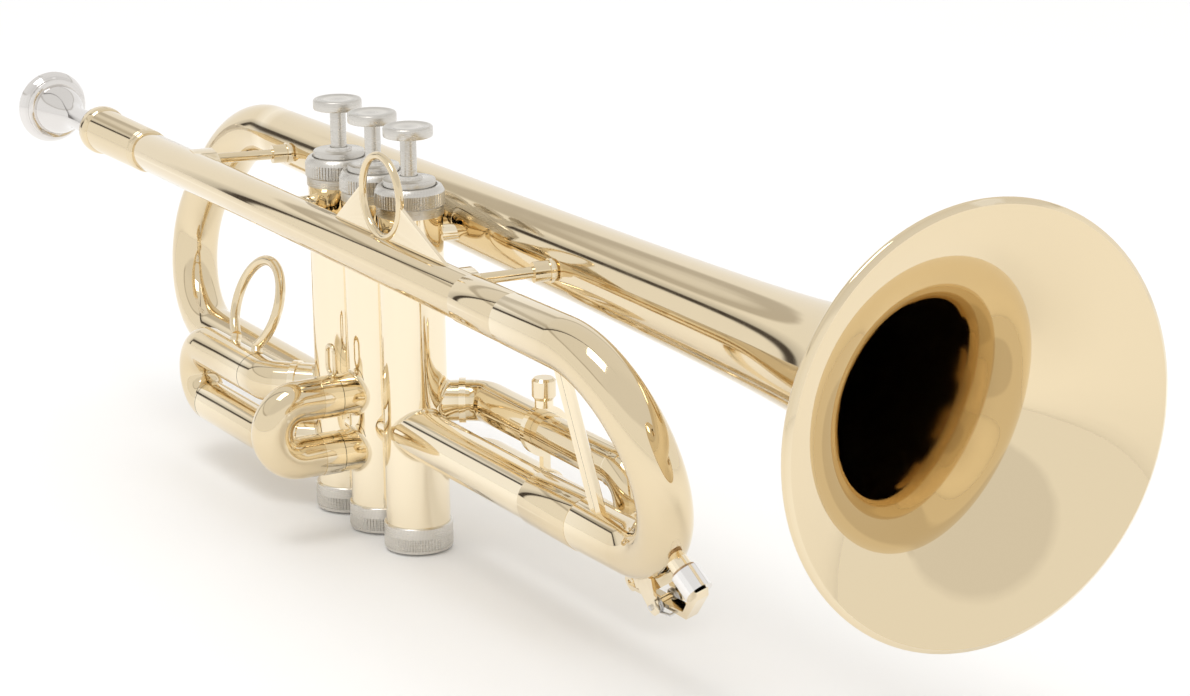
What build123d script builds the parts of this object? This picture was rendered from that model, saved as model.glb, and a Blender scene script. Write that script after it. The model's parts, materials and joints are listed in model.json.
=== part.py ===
from build123d import *

# A long-model B flat cornet with its valves upright. +X points forward to the bell, +Y to the
# player's left and +Z up. The origin lies under the second valve, level with the bottom caps.

import os
from math import cos, pi, radians, sin, sqrt, tan

# Valves
VALVE_X = {"1": -26.0, "2": 0.0, "3": 26.0}
CASING_R = 10.7
CASING_BORE_R = 8.5
CASING_LOW_Z = 3.0
CASING_TOP_Z = 119.0
THREAD_R = 10.0
PORT_R = 4.8
CAP_R = 11.5
BOTTOM_CAP_TOP_Z = 8.9
BOTTOM_CAP_FLOOR = 1.5
BOTTOM_KNURL_Z = (1.2, 5.2)
TOP_CAP_LOW_Z = 113.6
TOP_KNURL_Z = (116.9, 121.2)
TOP_CAP_LIP_Z = 123.2
TOP_CAP_TOP_Z = 125.2
TOP_CAP_DISC_R = 8.6
TOP_CAP_GROOVE = 0.6
TOP_CAP_GROOVE_DEPTH = 0.7
TOP_CAP_WEB = 1.7
CAP_EDGE = 0.4
KNURLS = 44
KNURL_SIZE = 0.7
PISTON_R = 8.45
PISTON_LOW_Z = 16.4
PORTED_TOP_Z = 62.0
BARREL_R = 7.5
BARREL_BORE_R = 6.6
BARREL_TOP_Z = 99.0
BARREL_CROWN = 2.0
PASSAGE_R = 3.8
VALVE_TRAVEL = 12.6
GUIDE_Z = (66.0, 69.0)
GUIDE_WIDTH = 6.0
GUIDE_PLAY = 0.3
GUIDE_BOSS_R = 5.9
SPRING_R = 5.4
SPRING_WIRE_R = 0.45
SPRING_TURNS = 7
STEM_R = 2.65
STEM_HOLE_R = 2.95
BUTTON_R = 8.15
BUTTON_Z = (139.1, 142.7)
BUTTON_EDGE = (0.4, 0.7)
BUTTON_DISH = (1.6, 0.4)
FELT_R = 4.4
FELT_THICKNESS = 1.0

# Mouthpipe, and the mouthpiece that its receiver holds by a taper
PIPE_Y = -20.0
PIPE_Z = 105.0
PIPE_R = (7.1, 7.5)
PIPE_BORE_R = (4.4, 5.9)
PIPE_SOCKET_X = 40.0
PIPE_FRONT_X = 104.5
RECEIVER_X = (-191.0, -143.0)
RECEIVER_R = 8.0
RECEIVER_RING_R = 8.9
RECEIVER_RING_LENGTH = 6.6
RECEIVER_STEP = 0.3
RECEIVER_STEP_LENGTH = 2.4
PIPE_BACK_X = -150.0
MOUTHPIECE_X = -241.5
SHANK_DEPTH = 22.0
SHANK_R = (4.3, 4.85)
TAPER_FIT = 0.03
TIP_BORE_R = 3.5

# Mouthpiece outline, as (distance from the rim, radius)
CUP_RIM = [(2.2, 7.9), (0, 10.4), (2.6, 13.6)]
CUP_STEPS = [(2.6, 13.6), (4.4, 13.6), (5.4, 12.0), (6.0, 11.4), (7.4, 11.4), (7.8, 9.4)]
CUP_BACK = [(7.8, 9.4), (12.0, 8.8), (16.5, 7.2), (22.5, 4.7), (29.0, 4.1)]
CUP_INSIDE = [(16.5, 1.9), (11.0, 6.0), (2.2, 7.9)]
THROAT = [(22.0, 1.9), (16.5, 1.9)]

# Main tuning slide
LEG_Y = -2.0
LEG_Z = 41.0
LEG_R = 8.3
LEG_FRONT_X = 114.6
SEAM = 0.3
SLIDE_FIT = 0.04
UPPER_INNER_R = 6.2
LOWER_INNER_R = 7.3
INNER_WALL = 0.45
UPPER_INNER_X = 45.0
LOWER_INNER_X = 60.0
UPPER_FERRULE_R = 7.9
LOWER_FERRULE_R = 8.75
BOW_BACK_X = (131.7, 143.9)
BOW_WALL = 0.7
BOW_R = (8.0, 8.3, 8.6)
BOW_BEND_X = 162.8
BOW_TOP_BEND_R = 39.3
BOW_TOP_ANGLE = 52.7
BRACE_BAR_R = 1.75
BRACE_BARS_X = ((155.4, 151.6), (159.0, 155.2))

# Water key, drawn in the plane of the bow with the lower leg's axis as its origin
KEY_PIN_AT = (183.3, -13.3)
KEY_PIN_R = 0.9
KEY_PIN_LENGTH = 11.4
KEY_BARREL_R = 1.7
KEY_BARREL_LENGTH = 8.0
KEY_EAR_R = 2.7
KEY_EAR_THICKNESS = 1.0
KEY_EAR_OFFSET = 4.1
KEY_ARM_THICKNESS = 1.5
KEY_ARM_WIDTH = 4.0
KEY_TAB_AT = (163.7, -13.6)
KEY_TAB_R = 2.7
KEY_TAB_HOLE_R = 1.15
KEY_SPRING_WIRE_R = 0.4
KEY_COILS = (2.5, 3.2)
KEY_SPRING_REACH = 7.0
KEY_SPRING_GAP = 0.1
KEY_TAB_EDGE = 0.6
KEY_TAB_LENGTH = 1.6
KEY_ARM_BEND = ((197.5, -14.2), (196.6, -11.9))
KEY_ARM_TIP = ((1.6, -1.2), (2.6, 1.8), (-0.6, 0.8))
KEY_EAR_FOOT = ((-8, -4), (5, -2))
KEY_SADDLE = [(-7, -9.0), (-7, -3), (4, -3), (4, -6.6)]
NIPPLE_ANGLE = radians(-42.6)
NIPPLE_R = 3.2
NIPPLE_HOLE_R = 1.5
NIPPLE_HEIGHT = 3.0
CUP_R = 4.5
CUP_HEIGHT = 7.4
CORK_R = 3.7
CORK_THICKNESS = 2.4
CORK_OUT = 0.9

# Bell and its rear bow
BELL_Y = 25.0
BELL_Z = 108.8
RIM_X = 306.4
RIM_R = 61.8
NECK_R = 11.6
NECK_X = 20.0
NECK_SLOPE = 0.014
FLARE_LENGTH = 72.0
FLARE_POWER = 4
BELL_WALL = 0.7
FLARE_POINTS = 16
BEAD_R = 1.35
RIM_WIRE_R = 0.75
ROLL_GAP = 0.3
ROLL_GAP_AT = 0.4
BELL_BACK_X = -126.0
REAR_BEND_X = -132.9
REAR_TOP_BEND_R = 49.0
REAR_TOP_ANGLE = 48.1
REAR_STRAIGHT = 16.9
TAIL_Y = 10.5
TAIL_Z = 29.2
TAIL_BEND_R = 8.6
TAIL_R = 7.9
TAIL_ELBOW_R = 9.0

# Valve slides
LEG_SPACING = 19.6
ELBOW_R = 9.0
RING_LENGTH = 2.2
RING_THICKNESS = 0.7
FIRST_RING_REACH = 17.0
THIRD_RING_REACH = 14.6
FIRST_Y = -20.0
FIRST_LOW_Z = 22.5
FIRST_R = 7.2
FIRST_INNER_R = 6.2
FIRST_ANGLE = radians(225.0)
FIRST_SLEEVES_X = {"low": -95.0, "high": -57.0}
FIRST_BOW_X = -96.5
SECOND_LOW_Z = 28.4
SECOND_R = 7.0
SECOND_INNER_R = 6.1
SECOND_SLEEVE_Y = -16.4
SECOND_FERRULE_Y = -23.8
SECOND_BOW_Y = -30.4
SECOND_FERRULE_STEP = 0.2
THIRD_Y = 20.0
THIRD_LOW_Z = 30.4
THIRD_R = 6.8
THIRD_INNER_R = 6.1
THIRD_ANGLE = radians(60.0)
THIRD_SLEEVE_X = 79.0
THIRD_BOW_X = 125.0
INNER_START = 12.0
KNUCKLE_R = 6.4
KNUCKLE_BORE_R = 5.5
KNUCKLE_Z = {"12": 32.0, "23": 37.0}

# Rings, hooks and braces
THUMB_RING_X = -71.0
THUMB_RING_REACH = 22.2
THUMB_RING_R = 15.7
THUMB_RING_LEAN = radians(21)
THUMB_WIRE_R = 1.8
THUMB_FOOT_X = (-76.5, -55.5)
THUMB_FOOT_R = 2.6
THUMB_FOOT_GAP = 0.4
THUMB_OPENING = radians(33)
HOOK_AT = (45.8, 125.6)
HOOK_R = 13.1
HOOK_WIRE_R = 1.3
HOOK_PLATE = 1.2
HOOK_WEB = [(12.2, 111.9), (12.2, 108), (91.5, 108), (91.5, 112.2), (60.2, 124.6), (31.5, 126.4)]
PULL_RING_Y = -17.8
PULL_RING_WIRE_R = 0.8
PULL_RING_R = 2.7
PULL_RING_STRAIGHT = 4.6
CLAMP_LENGTH = 2.6
CLAMP_R = 8.4
CLAMP_SINK = 0.4
CLAMP_BOSS_R = 3.0
CLAMP_BOSS_TOP = 2.0
SCREW_R = 1.15
SCREW_HOLE_R = 1.2
SCREW_HEAD_R = 3.9
SCREW_HEAD = (3.2, 8.4, 9.2)
ROD_R = 1.8
SOCKET_R = 3.25
SOCKET_LENGTH = 6.5
FLANGE_LENGTH = 10.5
FLANGE_WIDTH = 3.4
FLANGE_THICKNESS = 0.7
COLLAR_STEP = 0.6
COLLAR_AT = (1.4, 0.4)
FRONT_BRACE = ((92.0, PIPE_Y, 107.5), (101.5, BELL_Y, 109.0))
REAR_BRACE = ((-104.5, PIPE_Y, 109.0), (-97.0, BELL_Y, 108.4))
STRUT_R = 2.8
PIPE_STRUT_Z = 108.0
BELL_STRUT_Z = (106.0, 107.0)
BELL_STRUT_LEAN = 9.0

X_WAY = Vector(1, 0, 0)
Z_WAY = Vector(0, 0, 1)

os.makedirs("parts", exist_ok=True)


# Helpers that draw into the part being built


def save(part, name):
    part.part.label = name
    export_step(part.part, f"parts/{name}.step")


def add_rod(start, end, radius, mode=Mode.ADD):
    """Add or cut a round rod between two points."""
    run = Vector(*end) - Vector(*start)
    with BuildSketch(Plane(origin=start, z_dir=run)) as section:
        Circle(radius)
    extrude(section.sketch, amount=run.length, mode=mode)


def add_turned(origin, direction, profile, mode=Mode.ADD):
    """Add or cut a turned solid from (distance along the axis, radius) points."""
    direction = Vector(*direction)
    beside = Z_WAY if abs(direction.Z) < 0.5 else X_WAY
    with BuildSketch(Plane(origin=origin, x_dir=direction, z_dir=direction.cross(beside))) as outline:
        with BuildLine():
            Polyline(*profile, close=True)
        make_face()
    revolve(outline.sketch, axis=Axis(origin, direction), mode=mode)


def add_ring(centre, axis, ring_r, wire_r, mode=Mode.ADD):
    """Add or cut a closed ring of round wire."""
    axis = Vector(*axis)
    beside = Plane(origin=centre, z_dir=axis).x_dir
    with BuildSketch(Plane(origin=centre, x_dir=beside, z_dir=beside.cross(axis))) as section:
        with Locations((ring_r, 0)):
            Circle(wire_r)
    revolve(section.sketch, axis=Axis(centre, axis), mode=mode)


def add_tube(start, end, radii, bores=None, mode=Mode.ADD):
    """Add or cut a straight or conical tube; without bores it is solid."""
    start = Vector(*start)
    run = Vector(*end) - start
    bores = bores or (0.0, 0.0)
    profile = [(0, bores[0]), (0, radii[0]), (run.length, radii[1]), (run.length, bores[1])]
    add_turned(start, run.normalized(), profile, mode)


def add_bend(start, ahead, side, bend_r, angle, outer_r, inner_r=0.0, mode=Mode.ADD):
    """Add a bent tube that turns towards side; return its end and the way it then points."""
    with BuildSketch(Plane(origin=start, z_dir=ahead)) as section:
        Circle(outer_r)
        if inner_r > 0:
            Circle(inner_r, mode=Mode.SUBTRACT)
    centre = start + side * bend_r
    revolve(section.sketch, Axis(centre, ahead.cross(side)), angle, mode=mode)
    turn = radians(angle)
    end = centre - side * (bend_r * cos(turn)) + ahead * (bend_r * sin(turn))
    return end, ahead * cos(turn) + side * sin(turn), side * cos(turn) - ahead * sin(turn)


def add_route(points, bend_r, outer_r, inner_r=0.0, mode=Mode.ADD):
    """Add a tube of one size along straight runs whose corners are rounded."""
    corners = [Vector(*point) for point in points]
    at = corners[0]
    for corner, after in zip(corners[1:-1], corners[2:]):
        ahead = (corner - at).normalized()
        turned = (after - corner).normalized()
        angle = ahead.get_angle(turned)
        bend_start = corner - ahead * (bend_r * tan(radians(angle) / 2))
        if (bend_start - at).length > 0.001:
            add_tube(at, bend_start, (outer_r, outer_r), (inner_r, inner_r), mode)
        side = (turned - ahead * ahead.dot(turned)).normalized()
        at = add_bend(bend_start, ahead, side, bend_r, angle, outer_r, inner_r, mode)[0]
    if (corners[-1] - at).length > 0.001:
        add_tube(at, corners[-1], (outer_r, outer_r), (inner_r, inner_r), mode)


def second_bend_r(drop, first_r, angle, straight=0.0):
    """The radius that brings a bow of two bends back level across the drop."""
    turn = radians(angle)
    return (drop - first_r * (1 - cos(turn)) - straight * sin(turn)) / (1 + cos(turn))


def pipe_radius(x):
    """The mouthpipe's outer radius at x."""
    share = (x - RECEIVER_X[1]) / (PIPE_FRONT_X - RECEIVER_X[1])
    return PIPE_R[0] + (PIPE_R[1] - PIPE_R[0]) * share


def neck_radius(x):
    """The radius of the bell's long cone at x, leaving out the flare."""
    return NECK_R + NECK_SLOPE * (x - NECK_X)


def bell_flare(x):
    """How far the bell's flare stands out from its long cone at x."""
    at_rim = RIM_R - BEAD_R - neck_radius(RIM_X)
    return at_rim / (1 + (RIM_X - x) / FLARE_LENGTH) ** FLARE_POWER


def bell_radius(x):
    """The bell's outer radius at x."""
    return neck_radius(x) + bell_flare(x)


def cut_casing(number):
    """Cut off what would reach inside a valve casing."""
    x = VALVE_X[number]
    add_rod((x, 0, 0), (x, 0, CASING_TOP_Z), CASING_R, Mode.SUBTRACT)


def cut_pipe():
    """Cut off what would reach inside the mouthpipe."""
    add_tube(
        (RECEIVER_X[1], PIPE_Y, PIPE_Z), (PIPE_FRONT_X, PIPE_Y, PIPE_Z), PIPE_R, mode=Mode.SUBTRACT
    )


def cut_bell_neck():
    """Cut off what would reach inside the bell's long cone."""
    with BuildSketch(Plane.XY.offset(BELL_Z)) as outline:
        with BuildLine():
            curve = Spline(*bell_curve())
            Polyline(curve @ 1, (BELL_BACK_X, BELL_Y), (RIM_X, BELL_Y), curve @ 0)
        make_face()
    revolve(outline.sketch, axis=Axis((0, BELL_Y, BELL_Z), (1, 0, 0)), mode=Mode.SUBTRACT)


def bell_curve(inset=0.0):
    """Points of the bell's outline from the rim back, moved inwards by inset."""
    points = []
    for step in range(FLARE_POINTS):
        share = step / (FLARE_POINTS - 1)
        x = RIM_X + (BELL_BACK_X - RIM_X) * share**2.2
        slope = NECK_SLOPE + FLARE_POWER * bell_flare(x) / (FLARE_LENGTH + RIM_X - x)
        tilt = sqrt(1 + slope**2)
        points.append((x + inset * slope / tilt, BELL_Y + bell_radius(x) - inset / tilt))
    return points


# Valves

PORTS = {
    "1": [(FIRST_LOW_Z, FIRST_ANGLE), (FIRST_LOW_Z + LEG_SPACING, FIRST_ANGLE)],
    "2": [(SECOND_LOW_Z, radians(270)), (SECOND_LOW_Z + LEG_SPACING, radians(270))],
    "3": [(THIRD_LOW_Z, THIRD_ANGLE), (THIRD_LOW_Z + LEG_SPACING, THIRD_ANGLE)],
}
# The open run through each valve, given as where it enters and where it leaves
THROUGH = {
    "1": [(TAIL_Z, radians(90)), (KNUCKLE_Z["12"], 0.0)],
    "2": [(KNUCKLE_Z["12"], pi), (KNUCKLE_Z["23"], 0.0)],
    "3": [(KNUCKLE_Z["23"], pi), (LEG_Z, 0.0)],
}


def around(number, reach, port, lift=0.0):
    """A point at a distance from a valve's axis, in the direction and height of a port."""
    z, angle = port
    return (VALVE_X[number] + reach * cos(angle), reach * sin(angle), z + lift)


def make_casing(number):
    profile = [
        (CASING_LOW_Z, CASING_BORE_R),
        (CASING_TOP_Z, CASING_BORE_R),
        (CASING_TOP_Z, THREAD_R),
        (TOP_CAP_LOW_Z, THREAD_R),
        (TOP_CAP_LOW_Z, CASING_R),
        (BOTTOM_CAP_TOP_Z, CASING_R),
        (BOTTOM_CAP_TOP_Z, THREAD_R),
        (CASING_LOW_Z, THREAD_R),
    ]
    with BuildPart() as casing:
        add_turned((VALVE_X[number], 0, 0), Z_WAY, profile)
        for port in PORTS[number] + THROUGH[number]:
            add_rod(around(number, 0, port), around(number, 2 * CASING_R, port), PORT_R, Mode.SUBTRACT)
    save(casing, f"valve_casing_{number}")


def cut_knurl(number, z_range):
    """Cut fine upright grooves round a valve cap."""
    with BuildSketch(Plane.XY.offset(z_range[0])) as grooves:
        with Locations((VALVE_X[number], 0)):
            with PolarLocations(CAP_R + 0.2, KNURLS):
                Rectangle(KNURL_SIZE, KNURL_SIZE, rotation=45)
    extrude(grooves.sketch, amount=z_range[1] - z_range[0], mode=Mode.SUBTRACT)


def make_bottom_cap(number):
    profile = [
        (0, 0),
        (0, CAP_R - 2 * CAP_EDGE),
        (2 * CAP_EDGE, CAP_R),
        (BOTTOM_CAP_TOP_Z, CAP_R),
        (BOTTOM_CAP_TOP_Z, THREAD_R),
        (CASING_LOW_Z, THREAD_R),
        (CASING_LOW_Z, CASING_BORE_R),
        (BOTTOM_CAP_FLOOR, CASING_BORE_R),
        (BOTTOM_CAP_FLOOR, 0),
    ]
    with BuildPart() as cap:
        add_turned((VALVE_X[number], 0, 0), Z_WAY, profile)
        cut_knurl(number, BOTTOM_KNURL_Z)
    save(cap, f"bottom_cap_{number}")


def make_top_cap(number):
    step_r = TOP_CAP_DISC_R + TOP_CAP_GROOVE
    groove_z = TOP_CAP_LIP_Z - TOP_CAP_GROOVE_DEPTH
    web_z = TOP_CAP_LIP_Z - TOP_CAP_WEB
    profile = [
        (TOP_CAP_LOW_Z, THREAD_R),
        (TOP_CAP_LOW_Z, CAP_R - CAP_EDGE),
        (TOP_KNURL_Z[0] - CAP_EDGE, CAP_R - CAP_EDGE),
        (TOP_KNURL_Z[0], CAP_R),
        (TOP_KNURL_Z[1], CAP_R),
        (TOP_CAP_LIP_Z, CAP_R - 3 * CAP_EDGE),
        (TOP_CAP_LIP_Z, step_r),
        (groove_z, step_r),
        (groove_z, TOP_CAP_DISC_R),
        (TOP_CAP_TOP_Z - CAP_EDGE, TOP_CAP_DISC_R),
        (TOP_CAP_TOP_Z, TOP_CAP_DISC_R - CAP_EDGE),
        (TOP_CAP_TOP_Z, STEM_HOLE_R),
        (web_z, STEM_HOLE_R),
        (web_z, CASING_BORE_R),
        (CASING_TOP_Z, CASING_BORE_R),
        (CASING_TOP_Z, THREAD_R),
    ]
    with BuildPart() as cap:
        add_turned((VALVE_X[number], 0, 0), Z_WAY, profile)
        cut_knurl(number, TOP_KNURL_Z)
    save(cap, f"top_cap_{number}")


def make_piston(number):
    """The ported piston with its slotted spring barrel above."""
    x = VALVE_X[number]
    crown_z = BARREL_TOP_Z - BARREL_CROWN
    profile = [
        (PISTON_LOW_Z, 0),
        (PISTON_LOW_Z, PISTON_R),
        (PORTED_TOP_Z, PISTON_R),
        (PORTED_TOP_Z, BARREL_R),
        (crown_z, BARREL_R),
        (crown_z, PISTON_R),
        (BARREL_TOP_Z, PISTON_R),
        (BARREL_TOP_Z, 0),
    ]
    with BuildPart() as piston:
        add_turned((x, 0, 0), Z_WAY, profile)
        add_rod((x, 0, PORTED_TOP_Z), (x, 0, crown_z), BARREL_BORE_R, Mode.SUBTRACT)
        slot_low = GUIDE_Z[0] - GUIDE_PLAY
        slot_height = GUIDE_Z[1] + VALVE_TRAVEL + GUIDE_PLAY - slot_low
        with BuildSketch(Plane.XY.offset(slot_low)) as slot:
            with Locations((x, 0)):
                Rectangle(GUIDE_WIDTH + 2 * GUIDE_PLAY, 3 * PISTON_R)
        extrude(slot.sketch, amount=slot_height, mode=Mode.SUBTRACT)
        enter, leave = THROUGH[number]
        low, high = PORTS[number]
        passages = ((enter, leave, 0), (enter, low, VALVE_TRAVEL), (leave, high, VALVE_TRAVEL))
        for first, second, lift in passages:
            turn = (x, 0, (first[0] + second[0]) / 2 + lift)
            for port in (first, second):
                add_rod(turn, around(number, PISTON_R + 1, port, lift), PASSAGE_R, Mode.SUBTRACT)
    save(piston, f"piston_{number}")


def make_valve_guide(number):
    """The key across the casing that the spring stands on and that stops the piston turning."""
    with BuildPart() as guide:
        with BuildSketch(Plane.XY.offset(GUIDE_Z[0])) as key:
            with Locations((VALVE_X[number], 0)):
                Circle(CASING_BORE_R)
                Rectangle(GUIDE_WIDTH, 3 * CASING_BORE_R, mode=Mode.INTERSECT)
                Circle(GUIDE_BOSS_R)
        extrude(key.sketch, amount=GUIDE_Z[1] - GUIDE_Z[0])
    save(guide, f"valve_guide_{number}")


def make_valve_spring(number):
    height = BARREL_TOP_Z - BARREL_CROWN - GUIDE_Z[1] - 2 * SPRING_WIRE_R
    low = (VALVE_X[number], 0, GUIDE_Z[1] + SPRING_WIRE_R)
    with BuildPart() as spring:
        with BuildLine(Plane(origin=low)) as coil:
            Helix(pitch=height / SPRING_TURNS, height=height, radius=SPRING_R)
        with BuildSketch(Plane(origin=coil.line @ 0, z_dir=coil.line % 0)) as wire:
            Circle(SPRING_WIRE_R)
        sweep(wire.sketch, path=coil.line)
    save(spring, f"valve_spring_{number}")


def make_stem(number):
    x = VALVE_X[number]
    with BuildPart() as stem:
        add_rod((x, 0, BARREL_TOP_Z), (x, 0, BUTTON_Z[0]), STEM_R)
    save(stem, f"valve_stem_{number}")


def make_button(number):
    low, high = BUTTON_Z
    profile = [
        (low, 0),
        (low, BUTTON_R - BUTTON_EDGE[0]),
        (low + BUTTON_EDGE[0], BUTTON_R),
        (high - BUTTON_EDGE[1], BUTTON_R),
        (high, BUTTON_R - BUTTON_EDGE[1]),
        (high, BUTTON_R - BUTTON_DISH[0]),
        (high - BUTTON_DISH[1], 0),
    ]
    with BuildPart() as button:
        add_turned((VALVE_X[number], 0, 0), Z_WAY, profile)
    save(button, f"finger_button_{number}")


def make_stem_washers():
    with BuildPart() as washers:
        for x in VALVE_X.values():
            top = TOP_CAP_TOP_Z + FELT_THICKNESS
            radii = (FELT_R, FELT_R)
            add_tube((x, 0, TOP_CAP_TOP_Z), (x, 0, top), radii, (STEM_HOLE_R, STEM_HOLE_R))
    save(washers, "valve_stem_washers")


def make_knuckles():
    """The short tubes that join neighbouring valves."""
    with BuildPart() as knuckles:
        for pair, z in KNUCKLE_Z.items():
            start = (VALVE_X[pair[0]], 0, z)
            end = (VALVE_X[pair[1]], 0, z)
            add_tube(start, end, (KNUCKLE_R, KNUCKLE_R), (KNUCKLE_BORE_R, KNUCKLE_BORE_R))
        for number in VALVE_X:
            cut_casing(number)
    save(knuckles, "valve_knuckles")


# Mouthpipe side


def make_mouthpiece():
    end = RECEIVER_X[0] + SHANK_DEPTH - MOUTHPIECE_X
    shank = [(end - SHANK_DEPTH, SHANK_R[1]), (end, SHANK_R[0]), (end, TIP_BORE_R)]
    with BuildPart() as mouthpiece:
        with BuildSketch(Plane(origin=(MOUTHPIECE_X, PIPE_Y, PIPE_Z))) as outline:
            with BuildLine():
                Spline(*CUP_RIM, tangents=((-0.6, 1), (1, 0)))
                Polyline(*CUP_STEPS)
                Spline(*CUP_BACK, tangents=((1, 0), (1, 0)))
                Polyline(CUP_BACK[-1], *shank, *THROAT)
                Spline(*CUP_INSIDE, tangents=((-0.3, 1), (-1, 0.15)))
            make_face()
        revolve(outline.sketch, axis=Axis((0, PIPE_Y, PIPE_Z), (1, 0, 0)))
    save(mouthpiece, "mouthpiece")


def make_receiver():
    back, front = RECEIVER_X
    tip = back + SHANK_DEPTH
    bore = [radius + TAPER_FIT for radius in SHANK_R]
    step_r = RECEIVER_R + RECEIVER_STEP
    profile = [
        (back, bore[1]),
        (back, RECEIVER_R - RECEIVER_STEP),
        (back + 0.12 * RECEIVER_RING_LENGTH, RECEIVER_RING_R - RECEIVER_STEP),
        (back + 0.36 * RECEIVER_RING_LENGTH, RECEIVER_RING_R),
        (back + 0.67 * RECEIVER_RING_LENGTH, RECEIVER_RING_R),
        (back + 0.91 * RECEIVER_RING_LENGTH, RECEIVER_RING_R - RECEIVER_STEP),
        (back + RECEIVER_RING_LENGTH, RECEIVER_R),
        (front - RECEIVER_STEP_LENGTH, RECEIVER_R),
        (front - RECEIVER_STEP_LENGTH + RECEIVER_STEP, step_r),
        (front - RECEIVER_STEP, step_r),
        (front, RECEIVER_R),
        (front, PIPE_R[0]),
        (PIPE_BACK_X, PIPE_R[0]),
        (PIPE_BACK_X, PIPE_BORE_R[0]),
        (tip + 0.5, PIPE_BORE_R[0]),
        (tip + 0.5, bore[0]),
        (tip, bore[0]),
    ]
    with BuildPart() as receiver:
        add_turned((0, PIPE_Y, PIPE_Z), X_WAY, profile)
    save(receiver, "mouthpiece_receiver")


def make_mouthpipe():
    socket_r = UPPER_INNER_R + SLIDE_FIT
    profile = [
        (PIPE_BACK_X, PIPE_BORE_R[0]),
        (PIPE_BACK_X, PIPE_R[0]),
        (RECEIVER_X[1], PIPE_R[0]),
        (PIPE_FRONT_X, PIPE_R[1]),
        (PIPE_FRONT_X, socket_r),
        (PIPE_SOCKET_X, socket_r),
        (PIPE_SOCKET_X, PIPE_BORE_R[1]),
    ]
    with BuildPart() as pipe:
        add_turned((0, PIPE_Y, PIPE_Z), X_WAY, profile)
    save(pipe, "mouthpipe")


def make_lower_leg():
    """The fixed outer tube from the third valve to the tuning slide."""
    bore = LOWER_INNER_R + SLIDE_FIT
    with BuildPart() as leg:
        add_tube((VALVE_X["3"], LEG_Y, LEG_Z), (LEG_FRONT_X, LEG_Y, LEG_Z), (LEG_R, LEG_R), (bore, bore))
        cut_casing("3")
    save(leg, "tuning_slide_sleeve")


def make_tuning_inner_tubes():
    with BuildPart() as tubes:
        for start_x, end_x, y, z, radius in (
            (UPPER_INNER_X, BOW_BACK_X[0], PIPE_Y, PIPE_Z, UPPER_INNER_R),
            (LOWER_INNER_X, BOW_BACK_X[1], LEG_Y, LEG_Z, LOWER_INNER_R),
        ):
            bore = radius - INNER_WALL
            add_tube((start_x, y, z), (end_x, y, z), (radius, radius), (bore, bore))
    save(tubes, "tuning_slide_inner_tubes")


def make_tuning_ferrules():
    with BuildPart() as ferrules:
        for start_x, end_x, y, z, radius, bore in (
            (PIPE_FRONT_X + SEAM, BOW_BACK_X[0], PIPE_Y, PIPE_Z, UPPER_FERRULE_R, UPPER_INNER_R),
            (LEG_FRONT_X + SEAM, BOW_BACK_X[1], LEG_Y, LEG_Z, LOWER_FERRULE_R, LOWER_INNER_R),
        ):
            add_tube((start_x, y, z), (end_x, y, z), (radius, radius), (bore, bore))
    save(ferrules, "tuning_slide_ferrules")


BOW_DROP = Vector(0, LEG_Y - PIPE_Y, LEG_Z - PIPE_Z)
BOW_DOWN = BOW_DROP.normalized()
BOW_LOW_BEND_R = second_bend_r(BOW_DROP.length, BOW_TOP_BEND_R, BOW_TOP_ANGLE)
KEY_PLANE = Plane(origin=(0, LEG_Y, LEG_Z), x_dir=X_WAY, z_dir=X_WAY.cross(BOW_DOWN * -1))
LOW_BEND_X = BOW_BEND_X + (BOW_TOP_BEND_R - BOW_LOW_BEND_R) * sin(radians(BOW_TOP_ANGLE))


def add_tuning_bow(wall=None, mode=Mode.ADD):
    """Add the tuning bow as a tube, or add or cut its whole outside when there is no wall."""
    bores = [radius - wall if wall else 0.0 for radius in BOW_R]
    start = (BOW_BACK_X[0], PIPE_Y, PIPE_Z)
    bend = Vector(BOW_BEND_X, PIPE_Y, PIPE_Z)
    add_tube(start, bend, BOW_R[:2], bores[:2], mode)
    at, ahead, side = add_bend(
        bend, X_WAY, BOW_DOWN, BOW_TOP_BEND_R, BOW_TOP_ANGLE, BOW_R[1], bores[1], mode
    )
    at = add_bend(at, ahead, side, BOW_LOW_BEND_R, 180 - BOW_TOP_ANGLE, BOW_R[1], bores[1], mode)[0]
    add_tube(at, (BOW_BACK_X[1], LEG_Y, LEG_Z), BOW_R[1:], bores[1:], mode)


def nipple_point(distance):
    """A point on the water nipple's axis, measured from the centre of the lower bend."""
    flat = (LOW_BEND_X + distance * cos(NIPPLE_ANGLE), BOW_LOW_BEND_R + distance * sin(NIPPLE_ANGLE))
    return KEY_PLANE.from_local_coords(Vector(*flat))


BOW_SKIN_R = BOW_LOW_BEND_R + BOW_R[1]


def make_tuning_bow():
    with BuildPart() as bow:
        add_tuning_bow(BOW_WALL)
        add_rod(nipple_point(BOW_LOW_BEND_R), nipple_point(BOW_SKIN_R + 1), NIPPLE_R, Mode.SUBTRACT)
    save(bow, "tuning_slide_bow")


def make_tuning_brace():
    """Two slim six-sided bars between the legs of the tuning slide."""
    with BuildPart() as brace:
        for top_x, low_x in BRACE_BARS_X:
            start = Vector(top_x, PIPE_Y, PIPE_Z)
            run = Vector(low_x, LEG_Y, LEG_Z) - start
            with BuildSketch(Plane(origin=start, z_dir=run)) as bar:
                RegularPolygon(BRACE_BAR_R, 6)
            extrude(bar.sketch, amount=run.length)
        add_tuning_bow(mode=Mode.SUBTRACT)
    save(brace, "tuning_slide_brace")


# Water key


def add_key_plate(sketch_points, low, high):
    """Add a flat plate drawn in the key's plane, from one offset to another."""
    plane = KEY_PLANE.offset(low)
    with BuildSketch(plane) as plate:
        with BuildLine():
            Polyline(*sketch_points, close=True)
        make_face()
    extrude(plate.sketch, amount=high - low)


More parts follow.
